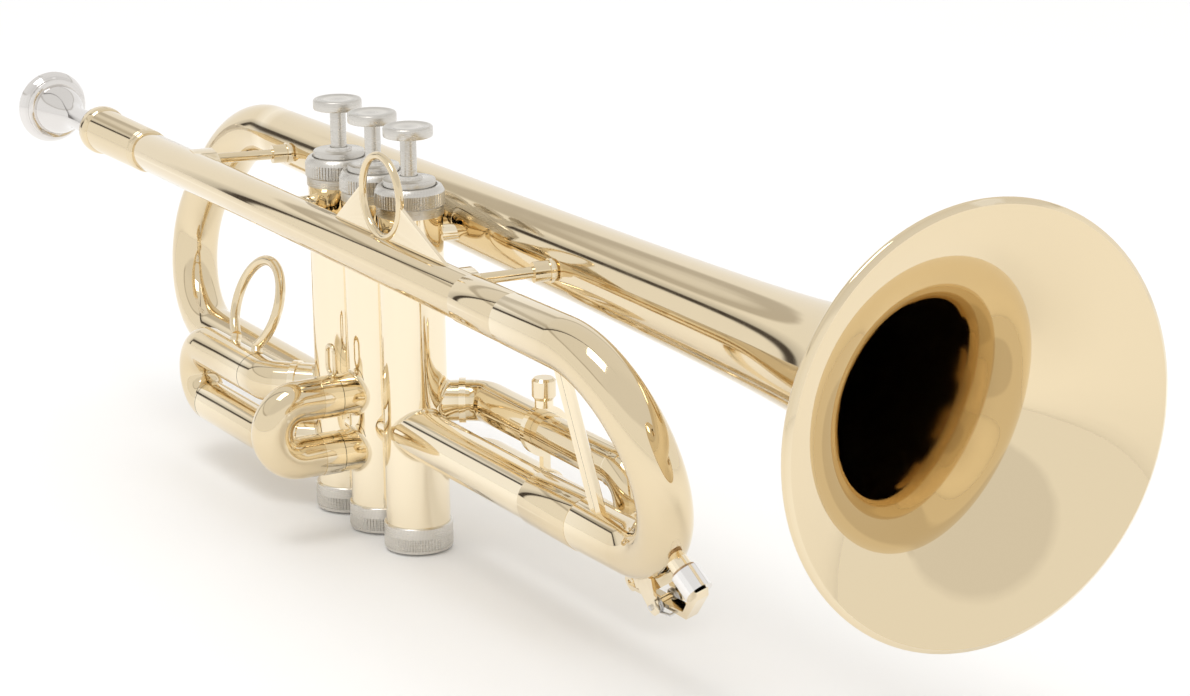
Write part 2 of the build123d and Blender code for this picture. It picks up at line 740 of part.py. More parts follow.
def add_key_pin(point, radius, length, mode=Mode.ADD):
    """Add or cut a pin across the key's plane."""
    with BuildSketch(KEY_PLANE.offset(-length / 2)) as section:
        with Locations(point):
            Circle(radius)
    extrude(section.sketch, amount=length, mode=mode)


def make_key_spring():
    """The spring wound round the lever's barrel on both sides, with a bar under the lever."""
    x, h = KEY_PIN_AT
    coil_r = KEY_BARREL_R + KEY_SPRING_GAP + KEY_SPRING_WIRE_R
    bar_at = (x + KEY_SPRING_REACH, h - KEY_ARM_THICKNESS / 2 - KEY_SPRING_GAP - KEY_SPRING_WIRE_R)
    outer = KEY_COILS[-1]
    with BuildPart() as spring:
        for side in (-1, 1):
            for offset in KEY_COILS:
                centre = KEY_PLANE.from_local_coords(Vector(x, h, side * offset))
                add_ring(centre, KEY_PLANE.z_dir, coil_r, KEY_SPRING_WIRE_R)
            leg_start = KEY_PLANE.from_local_coords(Vector(x, h - coil_r, side * outer))
            leg_end = KEY_PLANE.from_local_coords(Vector(*bar_at, side * outer))
            add_rod(leg_start, leg_end, KEY_SPRING_WIRE_R)
        add_key_pin(bar_at, KEY_SPRING_WIRE_R, 2 * outer + KEY_SPRING_WIRE_R)
    save(spring, "water_key_spring")


def make_water_nipple():
    with BuildPart() as nipple:
        low = nipple_point(BOW_SKIN_R - BOW_WALL)
        add_rod(low, nipple_point(BOW_SKIN_R + NIPPLE_HEIGHT), NIPPLE_R)
        add_rod(low, nipple_point(BOW_SKIN_R + NIPPLE_HEIGHT), NIPPLE_HOLE_R, Mode.SUBTRACT)
    save(nipple, "water_key_nipple")


def make_key_saddle():
    x, h = KEY_PIN_AT
    outer = KEY_EAR_OFFSET + KEY_EAR_THICKNESS
    with BuildPart() as saddle:
        feet = [(x + along, height) for along, height in KEY_EAR_FOOT]
        for low in (-outer, KEY_EAR_OFFSET):
            outline = [feet[0], (x - KEY_EAR_R, h), (x + KEY_EAR_R, h), feet[1]]
            add_key_plate(outline, low, low + KEY_EAR_THICKNESS)
            with BuildSketch(KEY_PLANE.offset(low)) as eye:
                with Locations(KEY_PIN_AT):
                    Circle(KEY_EAR_R)
            extrude(eye.sketch, amount=KEY_EAR_THICKNESS)
        add_key_plate([(x + along, height) for along, height in KEY_SADDLE], -outer, outer)
        add_key_pin(KEY_PIN_AT, KEY_PIN_R, 3 * KEY_PIN_LENGTH, Mode.SUBTRACT)
        add_tuning_bow(mode=Mode.SUBTRACT)
    save(saddle, "water_key_saddle")


def make_key_pin():
    with BuildPart() as pin:
        add_key_pin(KEY_PIN_AT, KEY_PIN_R, KEY_PIN_LENGTH)
    save(pin, "water_key_pin")


def cup_point(distance):
    """A point on the cup's axis, measured from where the cork meets the nipple."""
    return nipple_point(BOW_SKIN_R + NIPPLE_HEIGHT + distance)


def make_key_lever():
    x, h = KEY_PIN_AT
    tab_x, tab_h = KEY_TAB_AT
    half = KEY_ARM_WIDTH / 2
    low_h = h - KEY_ARM_THICKNESS / 2
    high_h = h + KEY_ARM_THICKNESS / 2
    end = KEY_PLANE.to_local_coords(cup_point(CORK_OUT + CUP_HEIGHT))
    tip = [(end.X + along, end.Y + height) for along, height in KEY_ARM_TIP]
    tab = [(tab_x, tab_h + KEY_TAB_EDGE), (tab_x, tab_h - KEY_TAB_EDGE)]
    with BuildPart() as lever:
        add_key_plate([(x, low_h), (x, high_h), *tab], -half, half)
        add_key_plate([(x, high_h), (x, low_h), KEY_ARM_BEND[0], *tip, KEY_ARM_BEND[1]], -half, half)
        add_key_pin(KEY_PIN_AT, KEY_BARREL_R, KEY_BARREL_LENGTH)
        add_key_pin(KEY_PIN_AT, KEY_PIN_R + SLIDE_FIT, 3 * KEY_PIN_LENGTH, Mode.SUBTRACT)
        add_key_pin(KEY_TAB_AT, KEY_TAB_R, KEY_TAB_LENGTH)
        add_key_pin(KEY_TAB_AT, KEY_TAB_HOLE_R, 3 * KEY_PIN_LENGTH, Mode.SUBTRACT)
        add_rod(cup_point(CORK_OUT), cup_point(CORK_OUT + CUP_HEIGHT), CUP_R, Mode.SUBTRACT)
    save(lever, "water_key_lever")


def make_key_cup():
    with BuildPart() as cup:
        add_rod(cup_point(CORK_OUT), cup_point(CORK_OUT + CUP_HEIGHT), CUP_R)
        add_rod(cup_point(0), cup_point(CORK_THICKNESS), CORK_R, Mode.SUBTRACT)
    save(cup, "water_key_cup")


def make_key_cork():
    with BuildPart() as cork:
        add_rod(cup_point(0), cup_point(CORK_THICKNESS), CORK_R)
    save(cork, "water_key_cork")


# Bell


def make_bell():
    """The bell with its edge rolled round the rim wire; the roll stays open at the back."""
    bead_x = RIM_X - BEAD_R + 0.2
    bead_y = BELL_Y + RIM_R - BEAD_R
    with BuildPart() as bell:
        with BuildSketch(Plane.XY.offset(BELL_Z)) as sheet:
            with BuildLine():
                outer = Spline(*bell_curve())
                inner = Spline(*bell_curve(BELL_WALL))
                Line(outer @ 0, inner @ 0)
                Line(outer @ 1, inner @ 1)
            make_face()
            with Locations((bead_x, bead_y)):
                Circle(BEAD_R)
                Circle(RIM_WIRE_R, mode=Mode.SUBTRACT)
            with Locations((bead_x - BEAD_R, bead_y + ROLL_GAP_AT)):
                Rectangle(2 * BEAD_R, ROLL_GAP, mode=Mode.SUBTRACT)
        revolve(sheet.sketch, axis=Axis((0, BELL_Y, BELL_Z), (1, 0, 0)))
    save(bell, "bell")
    with BuildPart() as wire:
        add_ring((bead_x, BELL_Y, BELL_Z), X_WAY, RIM_R - BEAD_R, RIM_WIRE_R)
    save(wire, "bell_rim_wire")


def make_rear_bow():
    """The bow behind the bell and the tube that brings it back to the first valve."""
    drop = Vector(0, TAIL_Y - BELL_Y, TAIL_Z - BELL_Z)
    down = drop.normalized()
    back_r = neck_radius(REAR_BEND_X)
    low_bend_r = second_bend_r(drop.length, REAR_TOP_BEND_R, REAR_TOP_ANGLE, REAR_STRAIGHT)
    wall = BELL_WALL
    with BuildPart() as bow:
        start = Vector(BELL_BACK_X, BELL_Y, BELL_Z)
        bend = Vector(REAR_BEND_X, BELL_Y, BELL_Z)
        start_r = neck_radius(BELL_BACK_X)
        add_tube(start, bend, (start_r, back_r), (start_r - wall, back_r - wall))
        at, ahead, side = add_bend(
            bend, X_WAY * -1, down, REAR_TOP_BEND_R, REAR_TOP_ANGLE, back_r, back_r - wall
        )
        after = at + ahead * REAR_STRAIGHT
        add_tube(at, after, (back_r, TAIL_BEND_R), (back_r - wall, TAIL_BEND_R - wall))
        at = add_bend(
            after, ahead, side, low_bend_r, 180 - REAR_TOP_ANGLE, TAIL_BEND_R, TAIL_BEND_R - wall
        )[0]
        elbow = Vector(VALVE_X["1"] - TAIL_ELBOW_R, TAIL_Y, TAIL_Z)
        add_tube(at, elbow, (TAIL_BEND_R, TAIL_R), (TAIL_BEND_R - wall, TAIL_R - wall))
        add_bend(elbow, X_WAY, Vector(0, -1, 0), TAIL_ELBOW_R, 90, TAIL_R, TAIL_R - wall)
        cut_casing("1")
    save(bow, "bell_bow")


# Valve slides


def make_side_slide(name, number, y, low_z, angle, sleeve_ends, radius, inner_r):
    """The fixed sleeves of a slide whose tubes leave the valve at an angle and then run along X."""
    reach = abs(y / sin(angle))
    corner_x = VALVE_X[number] + reach * cos(angle)
    bore = inner_r + SLIDE_FIT
    with BuildPart() as sleeves:
        for z, end_x in zip((low_z, low_z + LEG_SPACING), sleeve_ends):
            points = [(VALVE_X[number], 0, z), (corner_x, y, z), (end_x, y, z)]
            add_route(points, ELBOW_R, radius, bore)
        cut_casing(number)
    save(sleeves, name)


def make_knuckle_rings():
    """Ferrules round the tubes where the first and third slides leave their valves."""
    with BuildPart() as rings:
        for number, low_z, angle, radius, reach in (
            ("1", FIRST_LOW_Z, FIRST_ANGLE, FIRST_R, FIRST_RING_REACH),
            ("3", THIRD_LOW_Z, THIRD_ANGLE, THIRD_R, THIRD_RING_REACH),
        ):
            for z in (low_z, low_z + LEG_SPACING):
                start = around(number, reach, (z, angle))
                end = around(number, reach + RING_LENGTH, (z, angle))
                outer = radius + RING_THICKNESS
                add_tube(start, end, (outer, outer), (radius, radius))
    save(rings, "slide_knuckle_rings")


def make_crook(name, start_low, start_high, bow_at, ahead, outer_runs, radius, inner_r):
    """A slide crook: a half-circle bow, its outer runs and the inner tubes that slide."""
    bore = inner_r - INNER_WALL
    bow_r = LEG_SPACING / 2
    ahead = Vector(*ahead)
    low = Vector(*bow_at)
    high = low + Z_WAY * LEG_SPACING
    with BuildPart() as crook:
        add_bend(low, ahead, Z_WAY, bow_r, 180, radius, bore)
        add_tube(low, start_low, (inner_r, inner_r), (bore, bore))
        add_tube(high, start_high, (inner_r, inner_r), (bore, bore))
        for start, end, outer_r in outer_runs:
            add_tube(start, end, (outer_r, outer_r), (bore, bore))
    save(crook, name)


def make_first_slide():
    high_z = FIRST_LOW_Z + LEG_SPACING
    ends = (FIRST_SLEEVES_X["low"], FIRST_SLEEVES_X["high"])
    radii = (FIRST_R, FIRST_INNER_R)
    make_side_slide("first_slide_sleeves", "1", FIRST_Y, FIRST_LOW_Z, FIRST_ANGLE, ends, *radii)
    inner_x = VALVE_X["1"] + FIRST_Y - INNER_START
    make_crook(
        "first_slide_crook",
        (inner_x, FIRST_Y, FIRST_LOW_Z),
        (inner_x, FIRST_Y, high_z),
        (FIRST_BOW_X, FIRST_Y, FIRST_LOW_Z),
        (-1, 0, 0),
        (
            ((FIRST_BOW_X, FIRST_Y, FIRST_LOW_Z), (ends[0] - SEAM, FIRST_Y, FIRST_LOW_Z), FIRST_R),
            ((FIRST_BOW_X, FIRST_Y, high_z), (ends[1] - SEAM, FIRST_Y, high_z), FIRST_R),
        ),
        FIRST_R,
        FIRST_INNER_R,
    )


def make_second_slide():
    high_z = SECOND_LOW_Z + LEG_SPACING
    bore = SECOND_INNER_R + SLIDE_FIT
    with BuildPart() as sleeves:
        for z in (SECOND_LOW_Z, high_z):
            add_tube((0, 0, z), (0, SECOND_SLEEVE_Y, z), (SECOND_R, SECOND_R), (bore, bore))
        cut_casing("2")
    save(sleeves, "second_slide_sleeves")
    runs = []
    for z in (SECOND_LOW_Z, high_z):
        runs.append(((0, SECOND_BOW_Y, z), (0, SECOND_FERRULE_Y, z), SECOND_R))
        seam_y = SECOND_SLEEVE_Y - SEAM
        runs.append(((0, SECOND_FERRULE_Y, z), (0, seam_y, z), SECOND_R + SECOND_FERRULE_STEP))
    make_crook(
        "second_slide_crook",
        (0, -INNER_START, SECOND_LOW_Z),
        (0, -INNER_START, high_z),
        (0, SECOND_BOW_Y, SECOND_LOW_Z),
        (0, -1, 0),
        runs,
        SECOND_R,
        SECOND_INNER_R,
    )


def make_third_slide():
    high_z = THIRD_LOW_Z + LEG_SPACING
    ends = (THIRD_SLEEVE_X, THIRD_SLEEVE_X)
    radii = (THIRD_R, THIRD_INNER_R)
    make_side_slide("third_slide_sleeves", "3", THIRD_Y, THIRD_LOW_Z, THIRD_ANGLE, ends, *radii)
    inner_x = VALVE_X["3"] + THIRD_Y / tan(THIRD_ANGLE) + INNER_START
    make_crook(
        "third_slide_crook",
        (inner_x, THIRD_Y, THIRD_LOW_Z),
        (inner_x, THIRD_Y, high_z),
        (THIRD_BOW_X, THIRD_Y, THIRD_LOW_Z),
        (1, 0, 0),
        (),
        THIRD_R,
        THIRD_INNER_R,
    )


def make_third_clamp():
    """The band at the end of the third slide's sleeves, with a post down to the lower sleeve."""
    z = THIRD_LOW_Z + LEG_SPACING
    back_x = THIRD_SLEEVE_X - CLAMP_LENGTH
    middle_x = THIRD_SLEEVE_X - CLAMP_LENGTH / 2
    boss_low = (middle_x, THIRD_Y, z + CLAMP_R - CLAMP_SINK)
    boss_top = (middle_x, THIRD_Y, z + CLAMP_R + CLAMP_BOSS_TOP)
    with BuildPart() as clamp:
        add_tube((back_x, THIRD_Y, z), (THIRD_SLEEVE_X, THIRD_Y, z), (CLAMP_R, CLAMP_R))
        with BuildSketch(Plane.XY.offset(THIRD_LOW_Z)) as post:
            with Locations((middle_x, THIRD_Y)):
                Rectangle(CLAMP_LENGTH, CLAMP_LENGTH)
        extrude(post.sketch, amount=LEG_SPACING)
        for height in (z, THIRD_LOW_Z):
            back = (back_x - 1, THIRD_Y, height)
            front = (THIRD_SLEEVE_X + 1, THIRD_Y, height)
            add_rod(back, front, THIRD_R, Mode.SUBTRACT)
        add_rod(boss_low, boss_top, CLAMP_BOSS_R)
        add_rod(boss_low, boss_top, SCREW_HOLE_R, Mode.SUBTRACT)
    save(clamp, "third_slide_clamp")


def make_third_screw():
    """The thumbscrew on top of the clamp."""
    skin_z = THIRD_LOW_Z + LEG_SPACING + CLAMP_R
    under, shoulder, top = [skin_z + height for height in SCREW_HEAD]
    profile = [
        (skin_z - CLAMP_SINK, 0),
        (skin_z - CLAMP_SINK, SCREW_R),
        (skin_z + CLAMP_BOSS_TOP, SCREW_R),
        (skin_z + CLAMP_BOSS_TOP, CLAMP_BOSS_R),
        (under, SCREW_HEAD_R),
        (shoulder, SCREW_HEAD_R),
        (top, SCREW_HEAD_R - (top - shoulder)),
        (top, 0),
    ]
    with BuildPart() as screw:
        add_turned((THIRD_SLEEVE_X - CLAMP_LENGTH / 2, THIRD_Y, 0), Z_WAY, profile)
    save(screw, "third_slide_screw")


# Rings, hook and braces


def make_thumb_ring():
    """The thumb ring; its rear foot is soldered to the crook and its front foot stays clear."""
    tube = Vector(THUMB_RING_X, FIRST_Y, FIRST_LOW_Z + LEG_SPACING)
    forward = Vector(*X_WAY)
    up = Vector(0, sin(THUMB_RING_LEAN), cos(THUMB_RING_LEAN))
    middle = tube + up * (THUMB_RING_REACH - THUMB_RING_R * cos(THUMB_OPENING))
    spread = forward * (THUMB_RING_R * sin(THUMB_OPENING))
    with BuildPart() as ring:
        ahead = up * sin(THUMB_OPENING) - forward * cos(THUMB_OPENING)
        side = forward * sin(THUMB_OPENING) + up * cos(THUMB_OPENING)
        angle = 360 - 2 * THUMB_OPENING * 180 / pi
        add_bend(middle - spread, ahead, side, THUMB_RING_R, angle, THUMB_WIRE_R)
        for foot_x, end in zip(THUMB_FOOT_X, (middle - spread, middle + spread)):
            add_tube((foot_x, tube.Y, tube.Z), end, (THUMB_FOOT_R, THUMB_WIRE_R))
        back = tube - forward * 2 * THUMB_RING_R
        seam = (FIRST_SLEEVES_X["high"] - THUMB_FOOT_R, tube.Y, tube.Z)
        front = tube + forward * 2 * THUMB_RING_R
        add_rod(back, front, FIRST_R, Mode.SUBTRACT)
        add_rod(seam, front, FIRST_R + THUMB_FOOT_GAP, Mode.SUBTRACT)
    save(ring, "first_slide_thumb_ring")


def make_finger_hook():
    x, z = HOOK_AT
    with BuildPart() as ring:
        add_ring((x, PIPE_Y, z), (0, 1, 0), HOOK_R, HOOK_WIRE_R)
        cut_pipe()
    save(ring, "finger_hook_ring")
    with BuildPart() as plate:
        side = Plane(origin=(0, PIPE_Y - HOOK_PLATE / 2, 0), x_dir=X_WAY, z_dir=(0, -1, 0))
        with BuildSketch(side) as web:
            with BuildLine():
                Polyline(*HOOK_WEB, close=True)
            make_face()
            with Locations((x, z)):
                Circle(HOOK_R, mode=Mode.SUBTRACT)
        extrude(web.sketch, amount=-HOOK_PLATE)
        add_ring((x, PIPE_Y, z), (0, 1, 0), HOOK_R, HOOK_WIRE_R, Mode.SUBTRACT)
        cut_pipe()
    save(plate, "finger_hook_webs")


def make_pull_ring():
    """The oval pull ring on the second slide."""
    foot_z = SECOND_LOW_Z + LEG_SPACING + SECOND_R
    low_z = foot_z + PULL_RING_WIRE_R + PULL_RING_R - 0.4
    high_z = low_z + PULL_RING_STRAIGHT
    with BuildPart() as ring:
        low = Vector(-PULL_RING_R, PULL_RING_Y, low_z)
        high = Vector(PULL_RING_R, PULL_RING_Y, high_z)
        add_bend(low, Z_WAY * -1, X_WAY, PULL_RING_R, 180, PULL_RING_WIRE_R)
        add_bend(high, Z_WAY, X_WAY * -1, PULL_RING_R, 180, PULL_RING_WIRE_R)
        add_rod(low, (low.X, low.Y, high_z), PULL_RING_WIRE_R)
        add_rod((high.X, high.Y, low_z), high, PULL_RING_WIRE_R)
        tube_z = foot_z - SECOND_R
        ferrule_r = SECOND_R + SECOND_FERRULE_STEP
        add_rod((0, 0, tube_z), (0, SECOND_BOW_Y, tube_z), ferrule_r, Mode.SUBTRACT)
    save(ring, "second_slide_pull_ring")


def make_bell_brace(name, pipe_point, bell_point):
    """A rod between mouthpipe and bell with a long flange at each end and a socket at the bell."""
    start = Vector(*pipe_point)
    run = (Vector(*bell_point) - start).normalized()
    bell_skin = bell_radius(bell_point[0])
    length = (Vector(*bell_point) - start).length
    with BuildPart() as brace:
        add_rod(start, start + run * length, ROD_R)
        socket_end = start + run * (length - bell_skin)
        socket_start = socket_end - run * SOCKET_LENGTH
        add_rod(socket_start, socket_end + run * 2, SOCKET_R)
        collar = [socket_end - run * distance for distance in COLLAR_AT]
        add_rod(*collar, SOCKET_R + COLLAR_STEP)
        with BuildSketch(Plane(origin=start, x_dir=X_WAY, z_dir=run)) as foot:
            Ellipse(FLANGE_LENGTH, FLANGE_WIDTH)
        extrude(foot.sketch, amount=pipe_radius(start.X) + FLANGE_THICKNESS)
        cut_pipe()
        cut_bell_neck()
    save(brace, name)


def make_struts():
    """Short posts from the first valve to the mouthpipe and from the third valve to the bell."""
    with BuildPart() as struts:
        pipe_end = (VALVE_X["1"], PIPE_Y, PIPE_STRUT_Z)
        bell_end = (VALVE_X["3"] + BELL_STRUT_LEAN, BELL_Y, BELL_STRUT_Z[1])
        add_rod((VALVE_X["1"], 0, PIPE_STRUT_Z), pipe_end, STRUT_R)
        add_rod((VALVE_X["3"], 0, BELL_STRUT_Z[0]), bell_end, STRUT_R)
        cut_casing("1")
        cut_casing("3")
        cut_pipe()
        cut_bell_neck()
    save(struts, "valve_struts")


for number in VALVE_X:
    make_casing(number)
    make_bottom_cap(number)
    make_top_cap(number)
    make_piston(number)
    make_valve_guide(number)
    make_valve_spring(number)
    make_stem(number)
    make_button(number)
make_stem_washers()
make_knuckles()
make_mouthpiece()
make_receiver()
make_mouthpipe()
make_lower_leg()
make_tuning_inner_tubes()
make_tuning_ferrules()
make_tuning_bow()
make_tuning_brace()
make_water_nipple()
make_key_saddle()
make_key_pin()
make_key_lever()
make_key_spring()
make_key_cup()
make_key_cork()
make_bell()
make_rear_bow()
make_first_slide()
make_second_slide()
make_third_slide()
make_third_clamp()
make_third_screw()
make_knuckle_rings()
make_thumb_ring()
make_finger_hook()
make_pull_ring()
make_bell_brace("front_brace", *FRONT_BRACE)
make_bell_brace("rear_brace", *REAR_BRACE)
make_struts()
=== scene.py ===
# The looks of a lacquered brass cornet, standing on its valve caps in a white studio.
# Tubes, bell, casings, caps, buttons and mouthpiece get smooth meshes that follow the part's own sizes;
# the rings, braces, water key, pistons and springs keep the meshes of the part.

import json
import math

import bmesh
import bpy
from mathutils import Matrix, Vector


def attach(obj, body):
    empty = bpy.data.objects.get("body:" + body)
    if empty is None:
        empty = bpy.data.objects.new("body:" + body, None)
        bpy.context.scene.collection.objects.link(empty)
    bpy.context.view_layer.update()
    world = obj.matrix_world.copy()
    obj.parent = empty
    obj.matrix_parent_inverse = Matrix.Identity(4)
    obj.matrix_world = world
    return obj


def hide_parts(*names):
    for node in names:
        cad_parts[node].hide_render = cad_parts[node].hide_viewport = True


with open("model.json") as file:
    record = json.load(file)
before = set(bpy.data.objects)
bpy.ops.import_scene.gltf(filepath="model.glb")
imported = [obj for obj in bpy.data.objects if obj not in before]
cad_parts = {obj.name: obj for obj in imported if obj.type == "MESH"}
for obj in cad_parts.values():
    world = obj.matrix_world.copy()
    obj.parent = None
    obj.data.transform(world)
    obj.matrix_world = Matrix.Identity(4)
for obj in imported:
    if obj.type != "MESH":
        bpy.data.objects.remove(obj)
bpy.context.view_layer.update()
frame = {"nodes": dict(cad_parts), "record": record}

# Camera
CAMERA_AT = Vector((1.01666, -0.49657, 0.37839))
CAMERA_RIGHT = Vector((0.49852, 0.86678, -0.01274))
CAMERA_FORWARD = Vector((-0.83621, 0.47696, -0.27069))
LENS_MM = 105.9
SENSOR_MM = 36.0

# Studio. Directions in the room are unit vectors: a height is their Z, a side is their Y over their X.
FLOOR_Z = -0.0006
FLOOR_SIZE = 6.0
SWEEP = (0.97, 0.965, 0.955)
GAP = (0.60, 0.575, 0.54)
CEILING = (0.86, 0.85, 0.835)
FRONT_CEILING = (0.82, 0.81, 0.80)
GAP_HEIGHT = (0.475, 0.55)
GAP_EDGE = 0.02
GAP_WOBBLE = 0.06
GAP_WOBBLE_SCALE = 4.0
SLOT = (0.07, 0.06, 0.055)
SLOT_SIDE = [(0.30, 0.0), (0.405, 0.35), (0.42, 1.0), (0.46, 1.0), (0.48, 0.0)]
AHEAD = [(0.0, 0.0), (0.25, 1.0)]
KEY_LIGHT_AT = (0.1, -0.5, 1.7)
KEY_LIGHT_TOWARD = (0.0, 0.0, 0.05)
KEY_LIGHT_SIZE = 0.6
KEY_LIGHT_POWER = 5.0
FILL_LIGHT_AT = (0.0, 0.0, 2.6)
FILL_LIGHT_SIZE = 4.0
FILL_LIGHT_POWER = 24.0

# Valves, in millimetres as in the CAD part
VALVE_X = {"1": -26.0, "2": 0.0, "3": 26.0}
CASING_R = 10.7
CASING_BORE_R = 8.5
CASING_Z = (8.9, 113.6)
THREAD_R = 10.0
CAP_R = 11.5
CAP_EDGE = 0.4
BOTTOM_CAP_TOP_Z = 8.9
BOTTOM_CAP_BORE_Z = 3.0
BOTTOM_CAP_FLOOR = 1.5
BOTTOM_KNURL_Z = (1.2, 5.2)
TOP_CAP_Z = (113.6, 116.9, 121.2, 123.2, 125.2)
TOP_CAP_DISC_R = 8.6
TOP_CAP_GROOVE = (0.6, 0.7)
TOP_CAP_WEB = 1.7
STEM_GAP = 0.3
CAP_EASE = 0.3
KNURL_STEP = 0.02
KNURLS = 64
KNURL_DEPTH = 0.28
KNURL_POINTS = 4
BUTTON_R = 8.15
BUTTON_Z = (139.1, 142.7)
# Edges of a finger button: distance from its underside or its top, distance inside its radius
BUTTON_EDGE = [(0.0, 0.5), (0.15, 0.15), (0.5, 0.0)]
BUTTON_DISH = [(0.8, 0.0), (0.4, 0.12), (0.1, 0.42), (0.0, 0.8), (0.0, 1.4), (0.12, 1.7)]
BUTTON_HOLLOW = (0.3, 0.4)
STEM_R = 2.65
STEM_LOW_Z = 99.0
STEM_EASE = 0.1

# Mouthpipe and mouthpiece
PIPE_Y = -20.0
PIPE_Z = 105.0
PIPE_R = (7.1, 7.5)
PIPE_BORE_R = 6.2
PIPE_X = (-143.0, 104.5)
PIPE_GAP = 0.05
RECEIVER_X = (-191.0, -143.0)
RECEIVER_R = 8.0
RECEIVER_RING_R = 8.9
RECEIVER_RING_LENGTH = 6.6
RECEIVER_STEP = 0.3
RECEIVER_LIP = 0.1
# Fine lines round the receiver: how far behind its front end, then the outline of one as (along, depth)
RECEIVER_LINES = (3.6, 2.2)
RECEIVER_LINE = [(0.0, 0.2), (0.2, 0.4), (0.5, 0.4), (0.7, 0.2)]
MOUTHPIECE_X = -241.5
SHANK_X = (50.5, 72.5)
SHANK_R = (4.85, 4.3)
# Outline of the mouthpiece, from the inside of its rim round to the cup: distance from its back end, radius
CUP_RIM = [
    (2.2, 7.9),
    (0.9, 8.7),
    (0.2, 9.6),
    (0, 10.5),
    (0.25, 11.6),
    (0.9, 12.7),
    (1.7, 13.35),
    (2.6, 13.6),
]
CUP_STEPS = [(4.4, 13.6), (5.4, 12.0), (6.0, 11.4), (7.4, 11.4), (7.8, 9.4)]
CUP_BACK = [(9.2, 9.35), (11.0, 9.1), (13.0, 8.6), (15.0, 7.85), (17.0, 6.95), (19.0, 6.0), (20.8, 5.25)]
CUP_NECK = [(22.5, 4.75), (25.5, 4.25), (29.0, 4.1), (40.0, 4.45)]
TIP_BORE_R = 3.5
CUP_INSIDE = [(22.0, 1.9), (16.5, 1.9), (15.4, 2.6), (14.0, 3.9), (12.0, 5.3), (9.0, 6.7), (5.5, 7.5)]

# Main tuning slide
LEG_Y = -2.0
LEG_Z = 41.0
LEG_R = 8.3
LEG_FRONT_X = 114.6
SEAM = 0.3
UPPER_INNER_R = 6.2
LOWER_INNER_R = 7.3
UPPER_FERRULE_R = 7.9
LOWER_FERRULE_R = 8.75
INNER_START_X = (45.0, 60.0)
BOW_BACK_X = (131.7, 143.9)
BOW_R = (8.0, 8.3, 8.6)
BOW_BEND_X = 162.8
BOW_TOP_BEND_R = 39.3
BOW_TOP_ANGLE = 52.7
WALL = 0.7
INNER_WALL = 0.45
SLIDE_FIT = 0.04
EDGE_EASE = 0.12

# Bell and its rear bow
BELL_Y = 25.0
BELL_Z = 108.8
RIM_X = 306.4
RIM_R = 61.8
NECK_R = 11.6
NECK_X = 20.0
NECK_SLOPE = 0.014
FLARE_LENGTH = 72.0
FLARE_POWER = 4
BEAD_R = 1.35
BEAD_AHEAD = 0.2
BEAD_DEGREES = range(40, 280, 10)
BEAD_START = 1.2
BELL_STEPS = 120
BELL_CROWDING = 1.8
BELL_BACK_X = -126.0
REAR_BEND_X = -132.9
REAR_TOP_BEND_R = 49.0
REAR_TOP_ANGLE = 48.1
REAR_STRAIGHT = 16.9
TAIL_Y = 10.5
TAIL_Z = 29.2
TAIL_BEND_R = 8.6
TAIL_R = 7.9
TAIL_ELBOW_R = 9.0

# Valve slides
LEG_SPACING = 19.6
ELBOW_R = 9.0
FIRST_Y = -20.0
FIRST_LOW_Z = 22.5
FIRST_R = 7.2
FIRST_INNER_R = 6.2
FIRST_SLEEVES_X = (-95.0, -57.0)
FIRST_BOW_X = -96.5
FIRST_DEGREES = 225
SECOND_LOW_Z = 28.4
SECOND_R = 7.0
SECOND_INNER_R = 6.1
SECOND_SLEEVE_Y = -16.4
SECOND_FERRULE_R = 7.2
SECOND_BOW_Y = -30.4
THIRD_Y = 20.0
THIRD_LOW_Z = 30.4
THIRD_R = 6.8
THIRD_INNER_R = 6.1
THIRD_DEGREES = 60
THIRD_SLEEVE_X = 79.0
THIRD_BOW_X = 125.0
INNER_START = 12.0

# Colours that the metals reflect, new and worn, and the light and dark shades of felt and cork
BRASS = (0.80, 0.67, 0.455)
SILVER = (0.76, 0.735, 0.71)
NICKEL = (0.66, 0.635, 0.59)
WORN_BRASS = (0.93, 0.82, 0.62)
WORN_SILVER = (0.90, 0.88, 0.86)
PISTON = (0.66, 0.65, 0.63)
STEEL = (0.60, 0.60, 0.61)
FELT = ((0.86, 0.84, 0.80), (0.72, 0.70, 0.66))
CORK = ((0.70, 0.50, 0.30), (0.38, 0.24, 0.13))
EDGES = (0.52, 0.60)
WAVE_SCALE = 38.0
# The bell's inside goes from dull in the throat to polished, and its colour is painted dark down the throat
# as painted shade; the stops are metres along X
# Painted shade: the near-black colour deep in the bell's throat
THROAT_PAINTED_SHADE = (0.10, 0.06, 0.03)
THROAT_ROUGHNESS = (0.34, 0.035)
THROAT_STOPS = [(0.17, 0.0), (0.275, 1.0)]


# Materials


def node_material(name):
    """A new node material with its node tree and its shader."""
    material = bpy.data.materials.new(name)
    material.use_nodes = True
    tree = material.node_tree
    shader = tree.nodes["Principled BSDF"]
    return material, tree, shader


def noise(tree, scale, detail=4.0, stretch=(1, 1, 1)):
    """A noise texture fixed to the object's own space."""
    place = tree.nodes.new("ShaderNodeTexCoord")
    mapping = tree.nodes.new("ShaderNodeMapping")
    mapping.inputs["Scale"].default_value = stretch
    texture = tree.nodes.new("ShaderNodeTexNoise")
    texture.inputs["Scale"].default_value = scale
    texture.inputs["Detail"].default_value = detail
    tree.links.new(place.outputs["Object"], mapping.inputs["Vector"])
    tree.links.new(mapping.outputs["Vector"], texture.inputs["Vector"])
    return texture.outputs["Fac"]


def ramp(tree, value, stops):
    """A colour ramp through (position, colour or grey level) stops."""
    node = tree.nodes.new("ShaderNodeValToRGB")
    elements = node.color_ramp.elements
    while len(elements) < len(stops):
        elements.new(0.5)
    for element, (position, colour) in zip(elements, stops):
        element.position = position
        if isinstance(colour, float):
            colour = (colour, colour, colour)
        element.color = (*colour, 1)
    tree.links.new(value, node.inputs["Fac"])
    return node.outputs["Color"]


